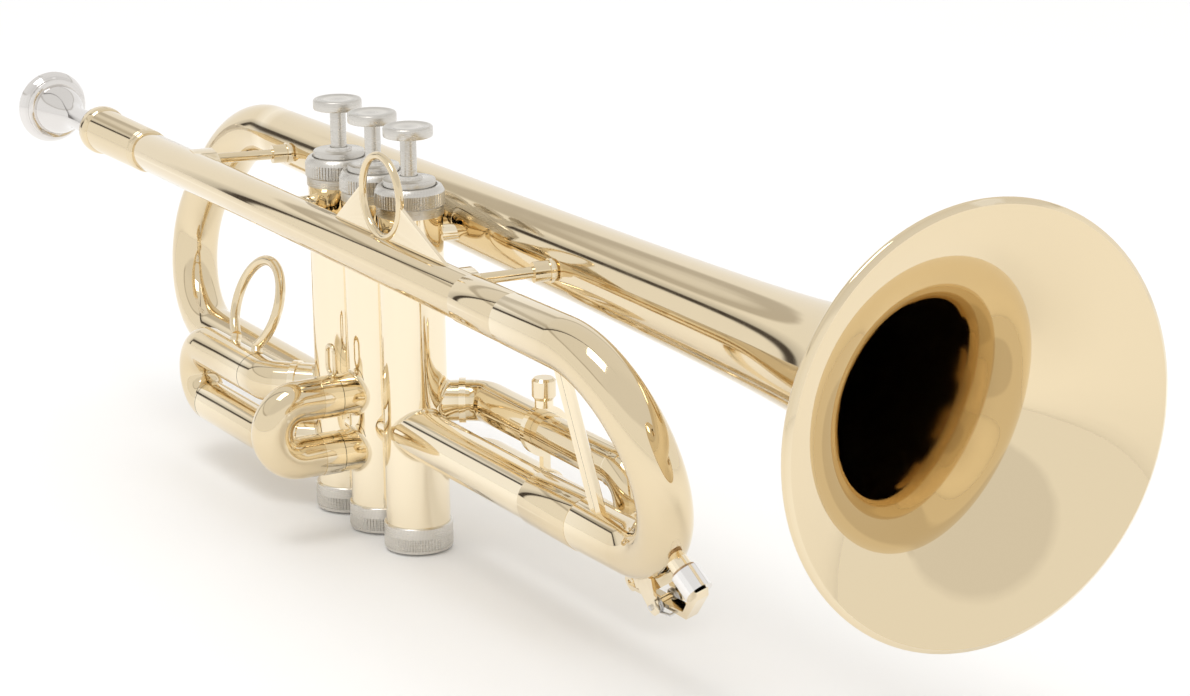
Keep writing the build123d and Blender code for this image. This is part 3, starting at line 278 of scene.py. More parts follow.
def mixed(tree, factor, first, second):
    """Two colours mixed by a factor."""
    node = tree.nodes.new("ShaderNodeMix")
    node.data_type = "RGBA"
    tree.links.new(factor, node.inputs["Factor"])
    for socket, value in (("A", first), ("B", second)):
        target = [s for s in node.inputs if s.name == socket and s.type == "RGBA"][0]
        if isinstance(value, tuple):
            target.default_value = (*value, 1)
        else:
            tree.links.new(value, target)
    return [s for s in node.outputs if s.type == "RGBA"][0]


def bump(tree, shader, height, strength, distance):
    """Feed a height into the shader's normal."""
    node = tree.nodes.new("ShaderNodeBump")
    node.inputs["Strength"].default_value = strength
    node.inputs["Distance"].default_value = distance
    tree.links.new(height, node.inputs["Height"])
    tree.links.new(node.outputs["Normal"], shader.inputs["Normal"])


def edge_wear(tree):
    """White on sharp edges, black elsewhere."""
    geometry = tree.nodes.new("ShaderNodeNewGeometry")
    return ramp(tree, geometry.outputs["Pointiness"], [(EDGES[0], 0.0), (EDGES[1], 1.0)])


def scaled(colour, factor):
    """A colour made darker or lighter."""
    return tuple(min(1.0, channel * factor) for channel in colour)


def make_polished_metal(name, colour, worn, roughness, wave):
    """Polished plate or lacquered metal: faint smears, slight waviness and worn edges."""
    material, tree, shader = node_material(name)
    shader.inputs["Metallic"].default_value = 1.0
    shader.inputs["Coat Weight"].default_value = 0.15
    shader.inputs["Coat Roughness"].default_value = 0.04
    tarnish = noise(tree, 22.0)
    tint = ramp(tree, tarnish, [(0.35, scaled(colour, 0.965)), (0.65, colour)])
    tree.links.new(mixed(tree, edge_wear(tree), tint, worn), shader.inputs["Base Color"])
    smears = noise(tree, 60.0, 6.0, (1.0, 2.5, 2.5))
    gloss = ramp(tree, smears, [(0.3, roughness), (0.75, roughness * 2.2)])
    tree.links.new(gloss, shader.inputs["Roughness"])
    bump(tree, shader, noise(tree, WAVE_SCALE, 2.0), wave, 0.001)
    return material


def make_satin_metal(name, colour, roughness, turned):
    """Satin plate with fine turning marks, brighter where edges are rubbed."""
    material, tree, shader = node_material(name)
    shader.inputs["Metallic"].default_value = 1.0
    clouds = noise(tree, 90.0)
    tint = ramp(tree, clouds, [(0.3, scaled(colour, 0.9)), (0.7, colour)])
    rubbed = mixed(tree, edge_wear(tree), tint, scaled(colour, 1.2))
    tree.links.new(rubbed, shader.inputs["Base Color"])
    marks = noise(tree, 400.0, 3.0, (0.3, 0.3, turned))
    gloss = ramp(tree, marks, [(0.3, roughness * 0.75), (0.7, roughness * 1.3)])
    tree.links.new(gloss, shader.inputs["Roughness"])
    bump(tree, shader, marks, 0.12, 0.0004)
    return material


def make_fibre(name, shades, scale, depth):
    """Felt or cork: mottled between a light and a dark shade, rough and soft."""
    light, dark = shades
    material, tree, shader = node_material(name)
    shader.inputs["Roughness"].default_value = 0.92
    shader.inputs["Sheen Weight"].default_value = 0.3
    grain = noise(tree, scale, 8.0)
    tree.links.new(ramp(tree, grain, [(0.35, dark), (0.62, light)]), shader.inputs["Base Color"])
    bump(tree, shader, grain, 0.6, depth)
    return material


def make_throat_metal_with_painted_shade(name, colour):
    """The inside of the bell: polished at the mouth, duller down the throat, and painted darker there as
    painted shade.
    """
    material, tree, shader = node_material(name)
    shader.inputs["Metallic"].default_value = 1.0
    place = tree.nodes.new("ShaderNodeTexCoord")
    split = tree.nodes.new("ShaderNodeSeparateXYZ")
    tree.links.new(place.outputs["Object"], split.inputs["Vector"])
    depth = ramp(tree, split.outputs["X"], THROAT_STOPS)
    clouds = ramp(tree, noise(tree, 22.0), [(0.35, 0.95), (0.65, 1.0)])
    tint = mixed(tree, clouds, scaled(colour, 0.95), colour)
    # Painted shade: the base colour goes from brass at the mouth to near black down the throat
    tree.links.new(mixed(tree, depth, THROAT_PAINTED_SHADE, tint), shader.inputs["Base Color"])
    dull, glossy = THROAT_ROUGHNESS
    tree.links.new(mixed(tree, depth, (dull,) * 3, (glossy,) * 3), shader.inputs["Roughness"])
    bump(tree, shader, noise(tree, WAVE_SCALE, 2.0), 0.012, 0.001)
    return material


MATERIALS = {
    "lacquered_brass": make_polished_metal("lacquered_brass", BRASS, WORN_BRASS, 0.035, 0.012),
    "silver_plate": make_polished_metal("silver_plate", SILVER, WORN_SILVER, 0.06, 0.01),
    "satin_nickel": make_satin_metal("satin_nickel", NICKEL, 0.30, 6.0),
    "piston_metal": make_satin_metal("piston_metal", PISTON, 0.22, 5.0),
    "spring_steel": make_satin_metal("spring_steel", STEEL, 0.28, 1.0),
    "felt": make_fibre("felt", FELT, 900.0, 0.0004),
    "cork": make_fibre("cork", CORK, 500.0, 0.0003),
}


def paint_cad_nodes():
    """Give every CAD node the material of its slot."""
    for entry in frame["record"]["subparts"]:
        mesh = frame["nodes"][entry["node"]].data
        mesh.materials.clear()
        mesh.materials.append(MATERIALS[entry["material_slot"]])


# Mesh building. Every size below is in millimetres, as in the part's own source.

MM = 0.001
ROUND_STEPS = 128
BEND_STEP = math.radians(2.5)
SHARP = math.radians(32)
CORNER_STEPS = 3
HALVINGS = 24
WELD_M = 1e-7
TINY_R = 1e-4
FILLET_STEPS = 5
FILLET_SIZE = 1.1
FILLET_SINK = 0.2
FILLET_LIFT = 0.03
X_WAY = (1, 0, 0)
Z_WAY = (0, 0, 1)


def finish_mesh(name, mesh, slot, body, nodes):
    """Shade a mesh, paint it, hang it on its body and let it stand for its CAD nodes."""
    mesh.polygons.foreach_set("use_smooth", [True] * len(mesh.polygons))
    mesh.set_sharp_from_angle(angle=SHARP)
    mesh.materials.append(MATERIALS[slot])
    piece = bpy.data.objects.new(name, mesh)
    bpy.context.scene.collection.objects.link(piece)
    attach(piece, body)
    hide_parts(*nodes)
    return piece


def mesh_from_grids(name, grids):
    """One mesh from grids of rings; each grid closes round its rings and from last ring to first."""
    vertices = []
    faces = []
    for rings in grids:
        base = len(vertices)
        count = len(rings[0])
        for ring in rings:
            vertices.extend(ring)
        for row in range(len(rings)):
            after = (row + 1) % len(rings)
            for column in range(count):
                beside = (column + 1) % count
                faces.append(
                    (
                        base + row * count + column,
                        base + row * count + beside,
                        base + after * count + beside,
                        base + after * count + column,
                    )
                )
    mesh = bpy.data.meshes.new(name)
    mesh.from_pydata([Vector(v) * MM for v in vertices], [], faces)
    work = bmesh.new()
    work.from_mesh(mesh)
    bmesh.ops.remove_doubles(work, verts=work.verts, dist=WELD_M)
    bmesh.ops.recalc_face_normals(work, faces=work.faces)
    work.to_mesh(mesh)
    work.free()
    return mesh


def softened(profile, radius):
    """A closed outline with its corners rounded a little, so that edges catch the light."""
    rounded = []
    count = len(profile)
    for index, corner in enumerate(profile):
        here = Vector(corner)
        before = Vector(profile[index - 1]) - here
        after = Vector(profile[(index + 1) % count]) - here
        cut = min(radius, before.length * 0.45, after.length * 0.45)
        first = here + before.normalized() * cut
        last = here + after.normalized() * cut
        for step in range(CORNER_STEPS + 1):
            share = step / CORNER_STEPS
            bent = first.lerp(here, share).lerp(here.lerp(last, share), share)
            rounded.append(tuple(bent))
    return rounded


def turned_rings(origin, axis, profile, steps=ROUND_STEPS, ripple=None):
    """Rings of a turned shape from a closed outline of (distance along the axis, radius)."""
    axis = Vector(axis).normalized()
    beside = axis.orthogonal().normalized()
    across = axis.cross(beside)
    rings = []
    for along, radius in profile:
        ring = []
        for step in range(steps):
            angle = 2 * math.pi * step / steps
            reach = max(radius, TINY_R)
            if ripple:
                reach -= ripple(along, radius, step)
            out = beside * math.cos(angle) + across * math.sin(angle)
            ring.append(Vector(origin) + axis * along + out * reach)
        rings.append(ring)
    return rings


class Path:
    """A line through space made of straight runs and bends, with a radius along it."""

    def __init__(self, start, ahead, radius):
        self.ahead = Vector(ahead).normalized()
        self.samples = [(Vector(start), self.ahead.copy(), radius)]

    def run(self, length, radius=None):
        """Go straight on, with the radius changing evenly."""
        at, _, start_r = self.samples[-1]
        end_r = start_r if radius is None else radius
        self.samples.append((at + self.ahead * length, self.ahead.copy(), end_r))
        return self

    def bend(self, side, bend_r, degrees, radius=None):
        """Turn towards side round a circle."""
        at, _, start_r = self.samples[-1]
        end_r = start_r if radius is None else radius
        side = (Vector(side) - self.ahead * self.ahead.dot(Vector(side))).normalized()
        centre = at + side * bend_r
        total = math.radians(degrees)
        steps = max(2, math.ceil(total / BEND_STEP))
        ahead = self.ahead.copy()
        for step in range(1, steps + 1):
            turn = total * step / steps
            spoke = ahead * math.sin(turn) - side * math.cos(turn)
            self.ahead = ahead * math.cos(turn) + side * math.sin(turn)
            radius_here = start_r + (end_r - start_r) * step / steps
            self.samples.append((centre + spoke * bend_r, self.ahead.copy(), radius_here))
        return self


def swept_rings(path, wall, valve_x=None):
    """Rings of a tube along a path, outside forwards and inside back, cut off at a valve casing."""
    side = path.samples[0][1].orthogonal().normalized()
    frames = []
    before = path.samples[0][1]
    for at, ahead, radius in path.samples:
        side = before.rotation_difference(ahead) @ side
        side = (side - ahead * side.dot(ahead)).normalized()
        frames.append((at, side.copy(), ahead.cross(side), radius))
        before = ahead
    rings = []
    for inset in (0.0, wall):
        skin = []
        for at, side, across, radius in frames:
            reach = radius - inset
            ring = []
            for step in range(ROUND_STEPS):
                angle = 2 * math.pi * step / ROUND_STEPS
                ring.append(at + (side * math.cos(angle) + across * math.sin(angle)) * reach)
            skin.append(ring)
        if valve_x is not None:
            cut_at_casing(skin, valve_x)
        rings.extend(skin if inset == 0.0 else skin[::-1])
    return rings


def cut_at_casing(skin, valve_x):
    """Slide a skin's points back along the tube until they lie on the casing; the tube ends inside it."""
    for step in range(ROUND_STEPS):
        for row in range(1, len(skin)):
            point = skin[row][step]
            if math.hypot(point.x - valve_x, point.y) < CASING_R:
                outside = skin[row - 1][step]
                inside = point
                for _ in range(HALVINGS):
                    middle = (outside + inside) / 2
                    if math.hypot(middle.x - valve_x, middle.y) < CASING_R:
                        inside = middle
                    else:
                        outside = middle
                for rest in range(row, len(skin)):
                    skin[rest][step] = outside.copy()
                break


def turned_piece(name, origin, axis, outline, slot, body, nodes):
    """A piece turned from a closed outline of (distance along the axis, radius)."""
    rings = turned_rings(origin, axis, outline)
    return finish_mesh(name, mesh_from_grids(name, [rings]), slot, body, nodes)


def pipe_outline(start, end, outer_r, inner_r):
    """The outline of a plain or conical tube with its ends eased."""
    outline = [(start, inner_r), (start, outer_r[0]), (end, outer_r[1]), (end, inner_r)]
    return softened(outline, EDGE_EASE)


# Bell


def neck_radius(x):
    """The bell's long cone, leaving out the flare."""
    return NECK_R + NECK_SLOPE * (x - NECK_X)


def bell_point(x, inset):
    """A point of the bell's outline, moved inwards by inset."""
    flare = (RIM_R - BEAD_R - neck_radius(RIM_X)) / (1 + (RIM_X - x) / FLARE_LENGTH) ** FLARE_POWER
    slope = NECK_SLOPE + FLARE_POWER * flare / (FLARE_LENGTH + RIM_X - x)
    tilt = math.hypot(1, slope)
    return x + inset * slope / tilt, neck_radius(x) + flare - inset / tilt


def make_bell():
    """The flared bell, its edge rolled back into a bead."""
    stations = []
    for step in range(BELL_STEPS + 1):
        share = 1 - (1 - step / BELL_STEPS) ** BELL_CROWDING
        stations.append(BELL_BACK_X + (RIM_X - BELL_BACK_X) * share)
    bead_x = RIM_X - BEAD_R + BEAD_AHEAD
    bead_y = RIM_R - BEAD_R
    bead = []
    for degrees in BEAD_DEGREES:
        turn = math.radians(degrees)
        bead.append((bead_x + BEAD_R * math.cos(turn), bead_y + BEAD_R * math.sin(turn)))
    inside = [bell_point(x, WALL) for x in stations]
    outside = [bell_point(x, 0.0) for x in stations if x < RIM_X - BEAD_START]
    outline = inside + bead + outside[::-1]
    origin = (0, BELL_Y, BELL_Z)
    bell = turned_piece("bell_shell", origin, X_WAY, outline, "lacquered_brass", "cornet", ["bell"])
    # The inner faces get the throat material, whose colour is painted shade darkening down the throat
    bell.data.materials.append(make_throat_metal_with_painted_shade("bell_throat_painted_shade", BRASS))
    for face in bell.data.polygons:
        outward = face.center - Vector((face.center.x, BELL_Y * MM, BELL_Z * MM))
        if face.normal.dot(outward) < 0:
            face.material_index = 1


def make_rear_bow():
    """The bow behind the bell and the tube that brings it back to the first valve."""
    down = Vector((0, TAIL_Y - BELL_Y, TAIL_Z - BELL_Z))
    low_r = low_bend_radius(down.length, REAR_TOP_BEND_R, REAR_TOP_ANGLE, REAR_STRAIGHT)
    path = Path((BELL_BACK_X, BELL_Y, BELL_Z), (-1, 0, 0), neck_radius(BELL_BACK_X))
    path.run(BELL_BACK_X - REAR_BEND_X, neck_radius(REAR_BEND_X))
    path.bend(down, REAR_TOP_BEND_R, REAR_TOP_ANGLE)
    path.run(REAR_STRAIGHT, TAIL_BEND_R)
    path.bend((1, 0, 0), low_r, 180 - REAR_TOP_ANGLE)
    path.run(VALVE_X["1"] - TAIL_ELBOW_R - path.samples[-1][0].x, TAIL_R)
    path.bend((0, -1, 0), TAIL_ELBOW_R, 90)
    mesh = mesh_from_grids("bell_bow_tube", [swept_rings(path, WALL, VALVE_X["1"])])
    finish_mesh("bell_bow_tube", mesh, "lacquered_brass", "cornet", ["bell_bow"])


def low_bend_radius(drop, first_r, degrees, straight=0.0):
    """The radius that brings a bow of two bends back level across the drop."""
    turn = math.radians(degrees)
    return (drop - first_r * (1 - math.cos(turn)) - straight * math.sin(turn)) / (1 + math.cos(turn))


# Mouthpipe side


def make_mouthpiece():
    """The mouthpiece: cup rim, stepped back, bulb, neck and tapered shank."""
    steps = softened(CUP_STEPS, CAP_EASE)[CORNER_STEPS + 1:]
    shank = [(SHANK_X[0], SHANK_R[0]), (SHANK_X[1], SHANK_R[1]), (SHANK_X[1], TIP_BORE_R)]
    outline = CUP_RIM + steps + CUP_BACK + CUP_NECK + shank + CUP_INSIDE
    origin = (MOUTHPIECE_X, PIPE_Y, PIPE_Z)
    turned_piece("mouthpiece_cup", origin, X_WAY, outline, "silver_plate", "mouthpiece", ["mouthpiece"])


def make_receiver():
    """The sleeve that takes the mouthpiece, with a rounded end ring and two engraved lines."""
    back, front = RECEIVER_X
    ring = RECEIVER_RING_LENGTH
    outline = [
        (back, SHANK_R[0]),
        (back, RECEIVER_R - RECEIVER_STEP),
        (back + 0.12 * ring, RECEIVER_RING_R - RECEIVER_STEP),
        (back + 0.36 * ring, RECEIVER_RING_R),
        (back + 0.67 * ring, RECEIVER_RING_R),
        (back + 0.91 * ring, RECEIVER_RING_R - RECEIVER_STEP),
        (back + ring, RECEIVER_R),
    ]
    for line in RECEIVER_LINES:
        outline += [(front - line + along, RECEIVER_R - depth) for along, depth in RECEIVER_LINE]
    outline += [
        (front - 2 * RECEIVER_STEP, RECEIVER_R - RECEIVER_STEP),
        (front, PIPE_R[0] + RECEIVER_LIP),
        (front, SHANK_R[0]),
    ]
    outline = softened(outline, EDGE_EASE)
    origin = (0, PIPE_Y, PIPE_Z)
    node = ["mouthpiece_receiver"]
    turned_piece("receiver_sleeve", origin, X_WAY, outline, "lacquered_brass", "cornet", node)


def make_mouthpipe():
    """The long tapered tube from the receiver to the tuning slide."""
    outline = pipe_outline(PIPE_X[0] + PIPE_GAP, PIPE_X[1], PIPE_R, PIPE_BORE_R)
    origin = (0, PIPE_Y, PIPE_Z)
    turned_piece("mouthpipe_tube", origin, X_WAY, outline, "lacquered_brass", "cornet", ["mouthpipe"])


# Main tuning slide


def make_lower_leg():
    """The fixed tube from the third valve that takes the tuning slide."""
    path = Path((LEG_FRONT_X, LEG_Y, LEG_Z), (-1, 0, 0), LEG_R)
    path.run(LEG_FRONT_X - VALVE_X["3"])
    rings = swept_rings(path, LEG_R - LOWER_INNER_R - SLIDE_FIT, VALVE_X["3"])
    mesh = mesh_from_grids("lower_leg_tube", [rings])
    finish_mesh("lower_leg_tube", mesh, "lacquered_brass", "cornet", ["tuning_slide_sleeve"])


def make_tuning_tubes():
    """The ferrules of the tuning slide and the inner tubes that they are soldered to."""
    upper = (0, PIPE_Y, PIPE_Z)
    lower = (0, LEG_Y, LEG_Z)
    ferrules = [
        (upper, PIPE_X[1] + SEAM, BOW_BACK_X[0], UPPER_FERRULE_R, UPPER_INNER_R),
        (lower, LEG_FRONT_X + SEAM, BOW_BACK_X[1], LOWER_FERRULE_R, LOWER_INNER_R),
    ]
    inner_tubes = [
        (upper, INNER_START_X[0], BOW_BACK_X[0], UPPER_INNER_R, UPPER_INNER_R - INNER_WALL),
        (lower, INNER_START_X[1], BOW_BACK_X[1], LOWER_INNER_R, LOWER_INNER_R - INNER_WALL),
    ]
    for name, tubes in (("tuning_slide_ferrules", ferrules), ("tuning_slide_inner_tubes", inner_tubes)):
        grids = []
        for origin, start, end, outer_r, inner_r in tubes:
            outline = pipe_outline(start, end, (outer_r, outer_r), inner_r)
            grids.append(turned_rings(origin, X_WAY, outline))
        mesh = mesh_from_grids(f"{name}_turned", grids)
        finish_mesh(f"{name}_turned", mesh, "lacquered_brass", "tuning_slide", [name])


def make_tuning_bow():
    """The large bow of the tuning slide, in two bends."""
    down = Vector((0, LEG_Y - PIPE_Y, LEG_Z - PIPE_Z))
    low_r = low_bend_radius(down.length, BOW_TOP_BEND_R, BOW_TOP_ANGLE)
    path = Path((BOW_BACK_X[0], PIPE_Y, PIPE_Z), (1, 0, 0), BOW_R[0])
    path.run(BOW_BEND_X - BOW_BACK_X[0], BOW_R[1])
    path.bend(down, BOW_TOP_BEND_R, BOW_TOP_ANGLE)
    path.bend((-1, 0, 0), low_r, 180 - BOW_TOP_ANGLE)
    path.run(path.samples[-1][0].x - BOW_BACK_X[1], BOW_R[2])
    mesh = mesh_from_grids("tuning_bow_tube", [swept_rings(path, WALL)])
    finish_mesh("tuning_bow_tube", mesh, "lacquered_brass", "tuning_slide", ["tuning_slide_bow"])


# Valve slides


def make_side_sleeves(name, node, number, y, low_z, degrees, ends_x, radius, inner_r):
    """Sleeves that run along X and turn through an elbow into their valve."""
    turn = math.radians(degrees)
    corner_x = VALVE_X[number] + abs(y / math.sin(turn)) * math.cos(turn)
    grids = []
    for z, end_x in zip((low_z, low_z + LEG_SPACING), ends_x):
        ahead = Vector((corner_x - end_x, 0, 0)).normalized()
        inward = Vector((-math.cos(turn), -math.sin(turn), 0))
        bend = math.degrees(ahead.angle(inward))
        reach = ELBOW_R * math.tan(math.radians(bend) / 2)
        path = Path((end_x, y, z), ahead, radius)
        path.run(abs(corner_x - end_x) - reach)
        path.bend(inward, ELBOW_R, bend)
        path.run(abs(y / math.sin(turn)) - reach)
        grids.append(swept_rings(path, radius - inner_r - SLIDE_FIT, VALVE_X[number]))
    finish_mesh(name, mesh_from_grids(name, grids), "lacquered_brass", "cornet", [node])


def make_crook(name, node, body, seams, ahead, bow_at, radii, inner_start, low_z):
    """A slide crook: outer runs with a half-circle bow, and the inner tubes that slide."""
    run_r, seam_r, inner_r = radii
    ahead = Vector(ahead)
    high = Vector(seams[1]) + Vector((0, 0, low_z + LEG_SPACING))
    path = Path(high, ahead, seam_r)
    reach = (Vector(bow_at) - Vector(seams[1])).dot(ahead)
    path.run(reach * 0.5).run(0.0, run_r).run(reach * 0.5)
    path.bend((0, 0, -1), LEG_SPACING / 2, 180)
    back = (Vector(bow_at) - Vector(seams[0])).dot(ahead)
    path.run(back * 0.5).run(0.0, seam_r).run(back * 0.5)
    grids = [swept_rings(path, WALL)]
    for z in (low_z, low_z + LEG_SPACING):
        start = Vector(inner_start) + Vector((0, 0, z))
        length = (Vector(bow_at) - Vector(inner_start)).dot(ahead)
        outline = pipe_outline(0, length, (inner_r, inner_r), inner_r - INNER_WALL)
        grids.append(turned_rings(start, ahead, outline))
    finish_mesh(name, mesh_from_grids(name, grids), "lacquered_brass", body, [node])


def make_second_sleeves():
    """The two short sleeves on the second valve."""
    grids = []
    for z in (SECOND_LOW_Z, SECOND_LOW_Z + LEG_SPACING):
        path = Path((0, SECOND_SLEEVE_Y, z), (0, 1, 0), SECOND_R)
        path.run(-SECOND_SLEEVE_Y)
        grids.append(swept_rings(path, SECOND_R - SECOND_INNER_R - SLIDE_FIT, VALVE_X["2"]))
    mesh = mesh_from_grids("second_sleeve_tubes", grids)
    finish_mesh("second_sleeve_tubes", mesh, "lacquered_brass", "cornet", ["second_slide_sleeves"])


def make_slides():
    """The three valve slides: sleeves fixed to the valves and crooks that pull out of them."""
    first_inner_x = VALVE_X["1"] + FIRST_Y - INNER_START
    third_inner_x = VALVE_X["3"] + THIRD_Y / math.tan(math.radians(THIRD_DEGREES)) + INNER_START
    make_side_sleeves(
        "first_sleeve_tubes",
        "first_slide_sleeves",
        "1",
        FIRST_Y,
        FIRST_LOW_Z,
        FIRST_DEGREES,
        FIRST_SLEEVES_X,
        FIRST_R,
        FIRST_INNER_R,
    )
    make_side_sleeves(
        "third_sleeve_tubes",
        "third_slide_sleeves",
        "3",
        THIRD_Y,
        THIRD_LOW_Z,
        THIRD_DEGREES,
        (THIRD_SLEEVE_X, THIRD_SLEEVE_X),
        THIRD_R,
        THIRD_INNER_R,
    )
    make_crook(
        "first_crook_tube",
        "first_slide_crook",
        "first_slide",
        [(x - SEAM, FIRST_Y, 0) for x in FIRST_SLEEVES_X],
        (-1, 0, 0),
        (FIRST_BOW_X, FIRST_Y, 0),
        (FIRST_R, FIRST_R, FIRST_INNER_R),
        (first_inner_x, FIRST_Y, 0),
        FIRST_LOW_Z,
    )
    make_crook(
        "third_crook_tube",
        "third_slide_crook",
        "third_slide",
        [(THIRD_BOW_X, THIRD_Y, 0)] * 2,
        (1, 0, 0),
        (THIRD_BOW_X, THIRD_Y, 0),
        (THIRD_R, THIRD_R, THIRD_INNER_R),
        (third_inner_x, THIRD_Y, 0),
        THIRD_LOW_Z,
    )
    make_crook(
        "second_crook_tube",
        "second_slide_crook",
        "second_slide",
        [(0, SECOND_SLEEVE_Y - SEAM, 0)] * 2,
        (0, -1, 0),
        (0, SECOND_BOW_Y, 0),
        (SECOND_R, SECOND_FERRULE_R, SECOND_INNER_R),
        (0, -INNER_START, 0),
        SECOND_LOW_Z,
    )
    make_second_sleeves()


# Solder


def fillet_rings(number, start, ahead, radius, size):
    """A solder fillet where a tube's outside meets a valve casing; ahead points out of the valve."""
    ahead = Vector(ahead).normalized()
    start = Vector(start)
    beside = ahead.orthogonal().normalized()
    across = ahead.cross(beside)
    rings = [[] for _ in range(FILLET_STEPS + 2)]
    for step in range(ROUND_STEPS):
        angle = 2 * math.pi * step / ROUND_STEPS
        out = beside * math.cos(angle) + across * math.sin(angle)
        skin = start + out * radius
        reach = Vector((skin.x - VALVE_X[number], skin.y))
        flat = Vector((ahead.x, ahead.y))
        along = -reach.dot(flat)
        along += math.sqrt(along * along - (reach.dot(reach) - CASING_R * CASING_R))
        corner = skin + ahead * along
        normal = Vector((corner.x - VALVE_X[number], corner.y, 0)).normalized()
        away = (out - normal * out.dot(normal)).normalized()
        on_tube = corner + ahead * size
        foot = corner + away * size
        spread = Vector((foot.x - VALVE_X[number], foot.y)).normalized() * CASING_R
        on_casing = Vector((VALVE_X[number] + spread.x, spread.y, foot.z))
        rings[-1].append(corner - (ahead + normal) * FILLET_SINK - out * FILLET_SINK)
        for index in range(FILLET_STEPS + 1):
            share = index / FILLET_STEPS
            middle = corner + (out + normal) * FILLET_LIFT
            first = on_tube.lerp(middle, share)
            rings[index].append(first.lerp(middle.lerp(on_casing, share), share))
    return rings


def make_fillets():
    """Solder at every tube that meets a valve casing."""
    joints = [
        ("3", (VALVE_X["3"], LEG_Y, LEG_Z), 0.0, LEG_R),
        ("1", (VALVE_X["1"], 0, TAIL_Z), 90.0, TAIL_R),
    ]
    for number, degrees, low_z, radius in (
        ("1", FIRST_DEGREES, FIRST_LOW_Z, FIRST_R),
        ("2", 270.0, SECOND_LOW_Z, SECOND_R),
        ("3", THIRD_DEGREES, THIRD_LOW_Z, THIRD_R),
    ):
        for z in (low_z, low_z + LEG_SPACING):
            joints.append((number, (VALVE_X[number], 0, z), degrees, radius))
    grids = []
    for number, start, degrees, radius in joints:
        turn = math.radians(degrees)
        ahead = (math.cos(turn), math.sin(turn), 0)
        grids.append(fillet_rings(number, start, ahead, radius, FILLET_SIZE))
    finish_mesh("solder_fillets", mesh_from_grids("solder_fillets", grids), "lacquered_brass", "cornet", [])


# Valves


def knurl(z_range):
    """A ripple of fine upright grooves between two heights."""
    low, high = z_range

    def depth(along, radius, step):
        if radius < CAP_R - KNURL_STEP / 2 or not low <= along <= high:
            return 0.0
        return KNURL_DEPTH * (step % KNURL_POINTS in (1, 2))

    return depth


def make_casing(number):
    """The polished tube of a valve."""
    origin = (VALVE_X[number], 0, 0)
    casing = [
        (CASING_Z[0], CASING_BORE_R),
        (CASING_Z[0], CASING_R),
        (CASING_Z[1], CASING_R),
        (CASING_Z[1], CASING_BORE_R),
    ]
    node = [f"valve_casing_{number}"]
    turned_piece(f"casing_tube_{number}", origin, Z_WAY, casing, "lacquered_brass", "cornet", node)


def make_bottom_cap(number):
    """The cup screwed under a valve, knurled round its lower half."""
    low, high = BOTTOM_KNURL_Z
    edge = 2 * CAP_EDGE
    outline = [
        (BOTTOM_CAP_FLOOR, 0),
        (0, 0),
        (0, CAP_R - edge),
        (edge * 0.3, CAP_R - edge * 0.3),
        (low - KNURL_STEP, CAP_R),
        (low, CAP_R),
        (high, CAP_R),
        (high + KNURL_STEP, CAP_R),
        (BOTTOM_CAP_TOP_Z - CAP_EASE, CAP_R),
        (BOTTOM_CAP_TOP_Z, CAP_R - CAP_EASE),
        (BOTTOM_CAP_TOP_Z, THREAD_R),
        (BOTTOM_CAP_BORE_Z, THREAD_R),
        (BOTTOM_CAP_BORE_Z, CASING_BORE_R),
        (BOTTOM_CAP_FLOOR, CASING_BORE_R),
    ]
    origin = (VALVE_X[number], 0, 0)
    node = [f"bottom_cap_{number}"]
    name = f"bottom_cap_shell_{number}"
    rings = turned_rings(origin, Z_WAY, outline, KNURL_POINTS * KNURLS, knurl(BOTTOM_KNURL_Z))
    finish_mesh(name, mesh_from_grids(name, [rings]), "satin_nickel", "cornet", node)


def make_top_cap(number):
    """The cap screwed on a valve: a knurled band, a groove and a plain disc round the stem."""
    low, knurl_low, knurl_high, lip, top = TOP_CAP_Z
    groove, depth = TOP_CAP_GROOVE
    outline = [
        (low, THREAD_R),
        (low, CAP_R - CAP_EDGE),
        (knurl_low - CAP_EDGE, CAP_R - CAP_EDGE),
        (knurl_low - KNURL_STEP, CAP_R),
        (knurl_low, CAP_R),
        (knurl_high, CAP_R),
        (knurl_high + KNURL_STEP, CAP_R),
        (lip - CAP_EDGE, CAP_R - 3 * CAP_EDGE + CAP_EASE),
        (lip, CAP_R - 3 * CAP_EDGE - CAP_EASE),
        (lip, TOP_CAP_DISC_R + groove),
        (lip - depth, TOP_CAP_DISC_R + groove),
        (lip - depth, TOP_CAP_DISC_R),
        (top - CAP_EDGE, TOP_CAP_DISC_R),
        (top - CAP_EDGE * 0.3, TOP_CAP_DISC_R - CAP_EDGE * 0.3),
        (top, TOP_CAP_DISC_R - CAP_EDGE),
        (top, STEM_R + STEM_GAP),
        (lip - TOP_CAP_WEB, STEM_R + STEM_GAP),
        (lip - TOP_CAP_WEB, CASING_BORE_R),
        (CASING_Z[1], CASING_BORE_R),
    ]
    origin = (VALVE_X[number], 0, 0)
    name = f"top_cap_shell_{number}"
    rings = turned_rings(origin, Z_WAY, outline, KNURL_POINTS * KNURLS, knurl((knurl_low, knurl_high)))
    finish_mesh(name, mesh_from_grids(name, [rings]), "satin_nickel", "cornet", [f"top_cap_{number}"])


def make_button(number):
    """A finger button with a dished top, and the stem that carries it."""
    low, high = BUTTON_Z
    outline = [(low, 0)]
    outline += [(low + up, BUTTON_R - inset) for up, inset in BUTTON_EDGE]
    outline += [(high - down, BUTTON_R - inset) for down, inset in BUTTON_DISH]
    outline += [(high - BUTTON_HOLLOW[0], BUTTON_R * 0.5), (high - BUTTON_HOLLOW[1], 0)]
    origin = (VALVE_X[number], 0, 0)
    body = f"valve_{number}"
    node = [f"finger_button_{number}"]
    turned_piece(f"button_disc_{number}", origin, Z_WAY, outline, "satin_nickel", body, node)
    stem = softened([(STEM_LOW_Z, 0), (STEM_LOW_Z, STEM_R), (low, STEM_R), (low, 0)], STEM_EASE)
    node = [f"valve_stem_{number}"]
    turned_piece(f"stem_rod_{number}", origin, Z_WAY, stem, "satin_nickel", body, node)


# Studio


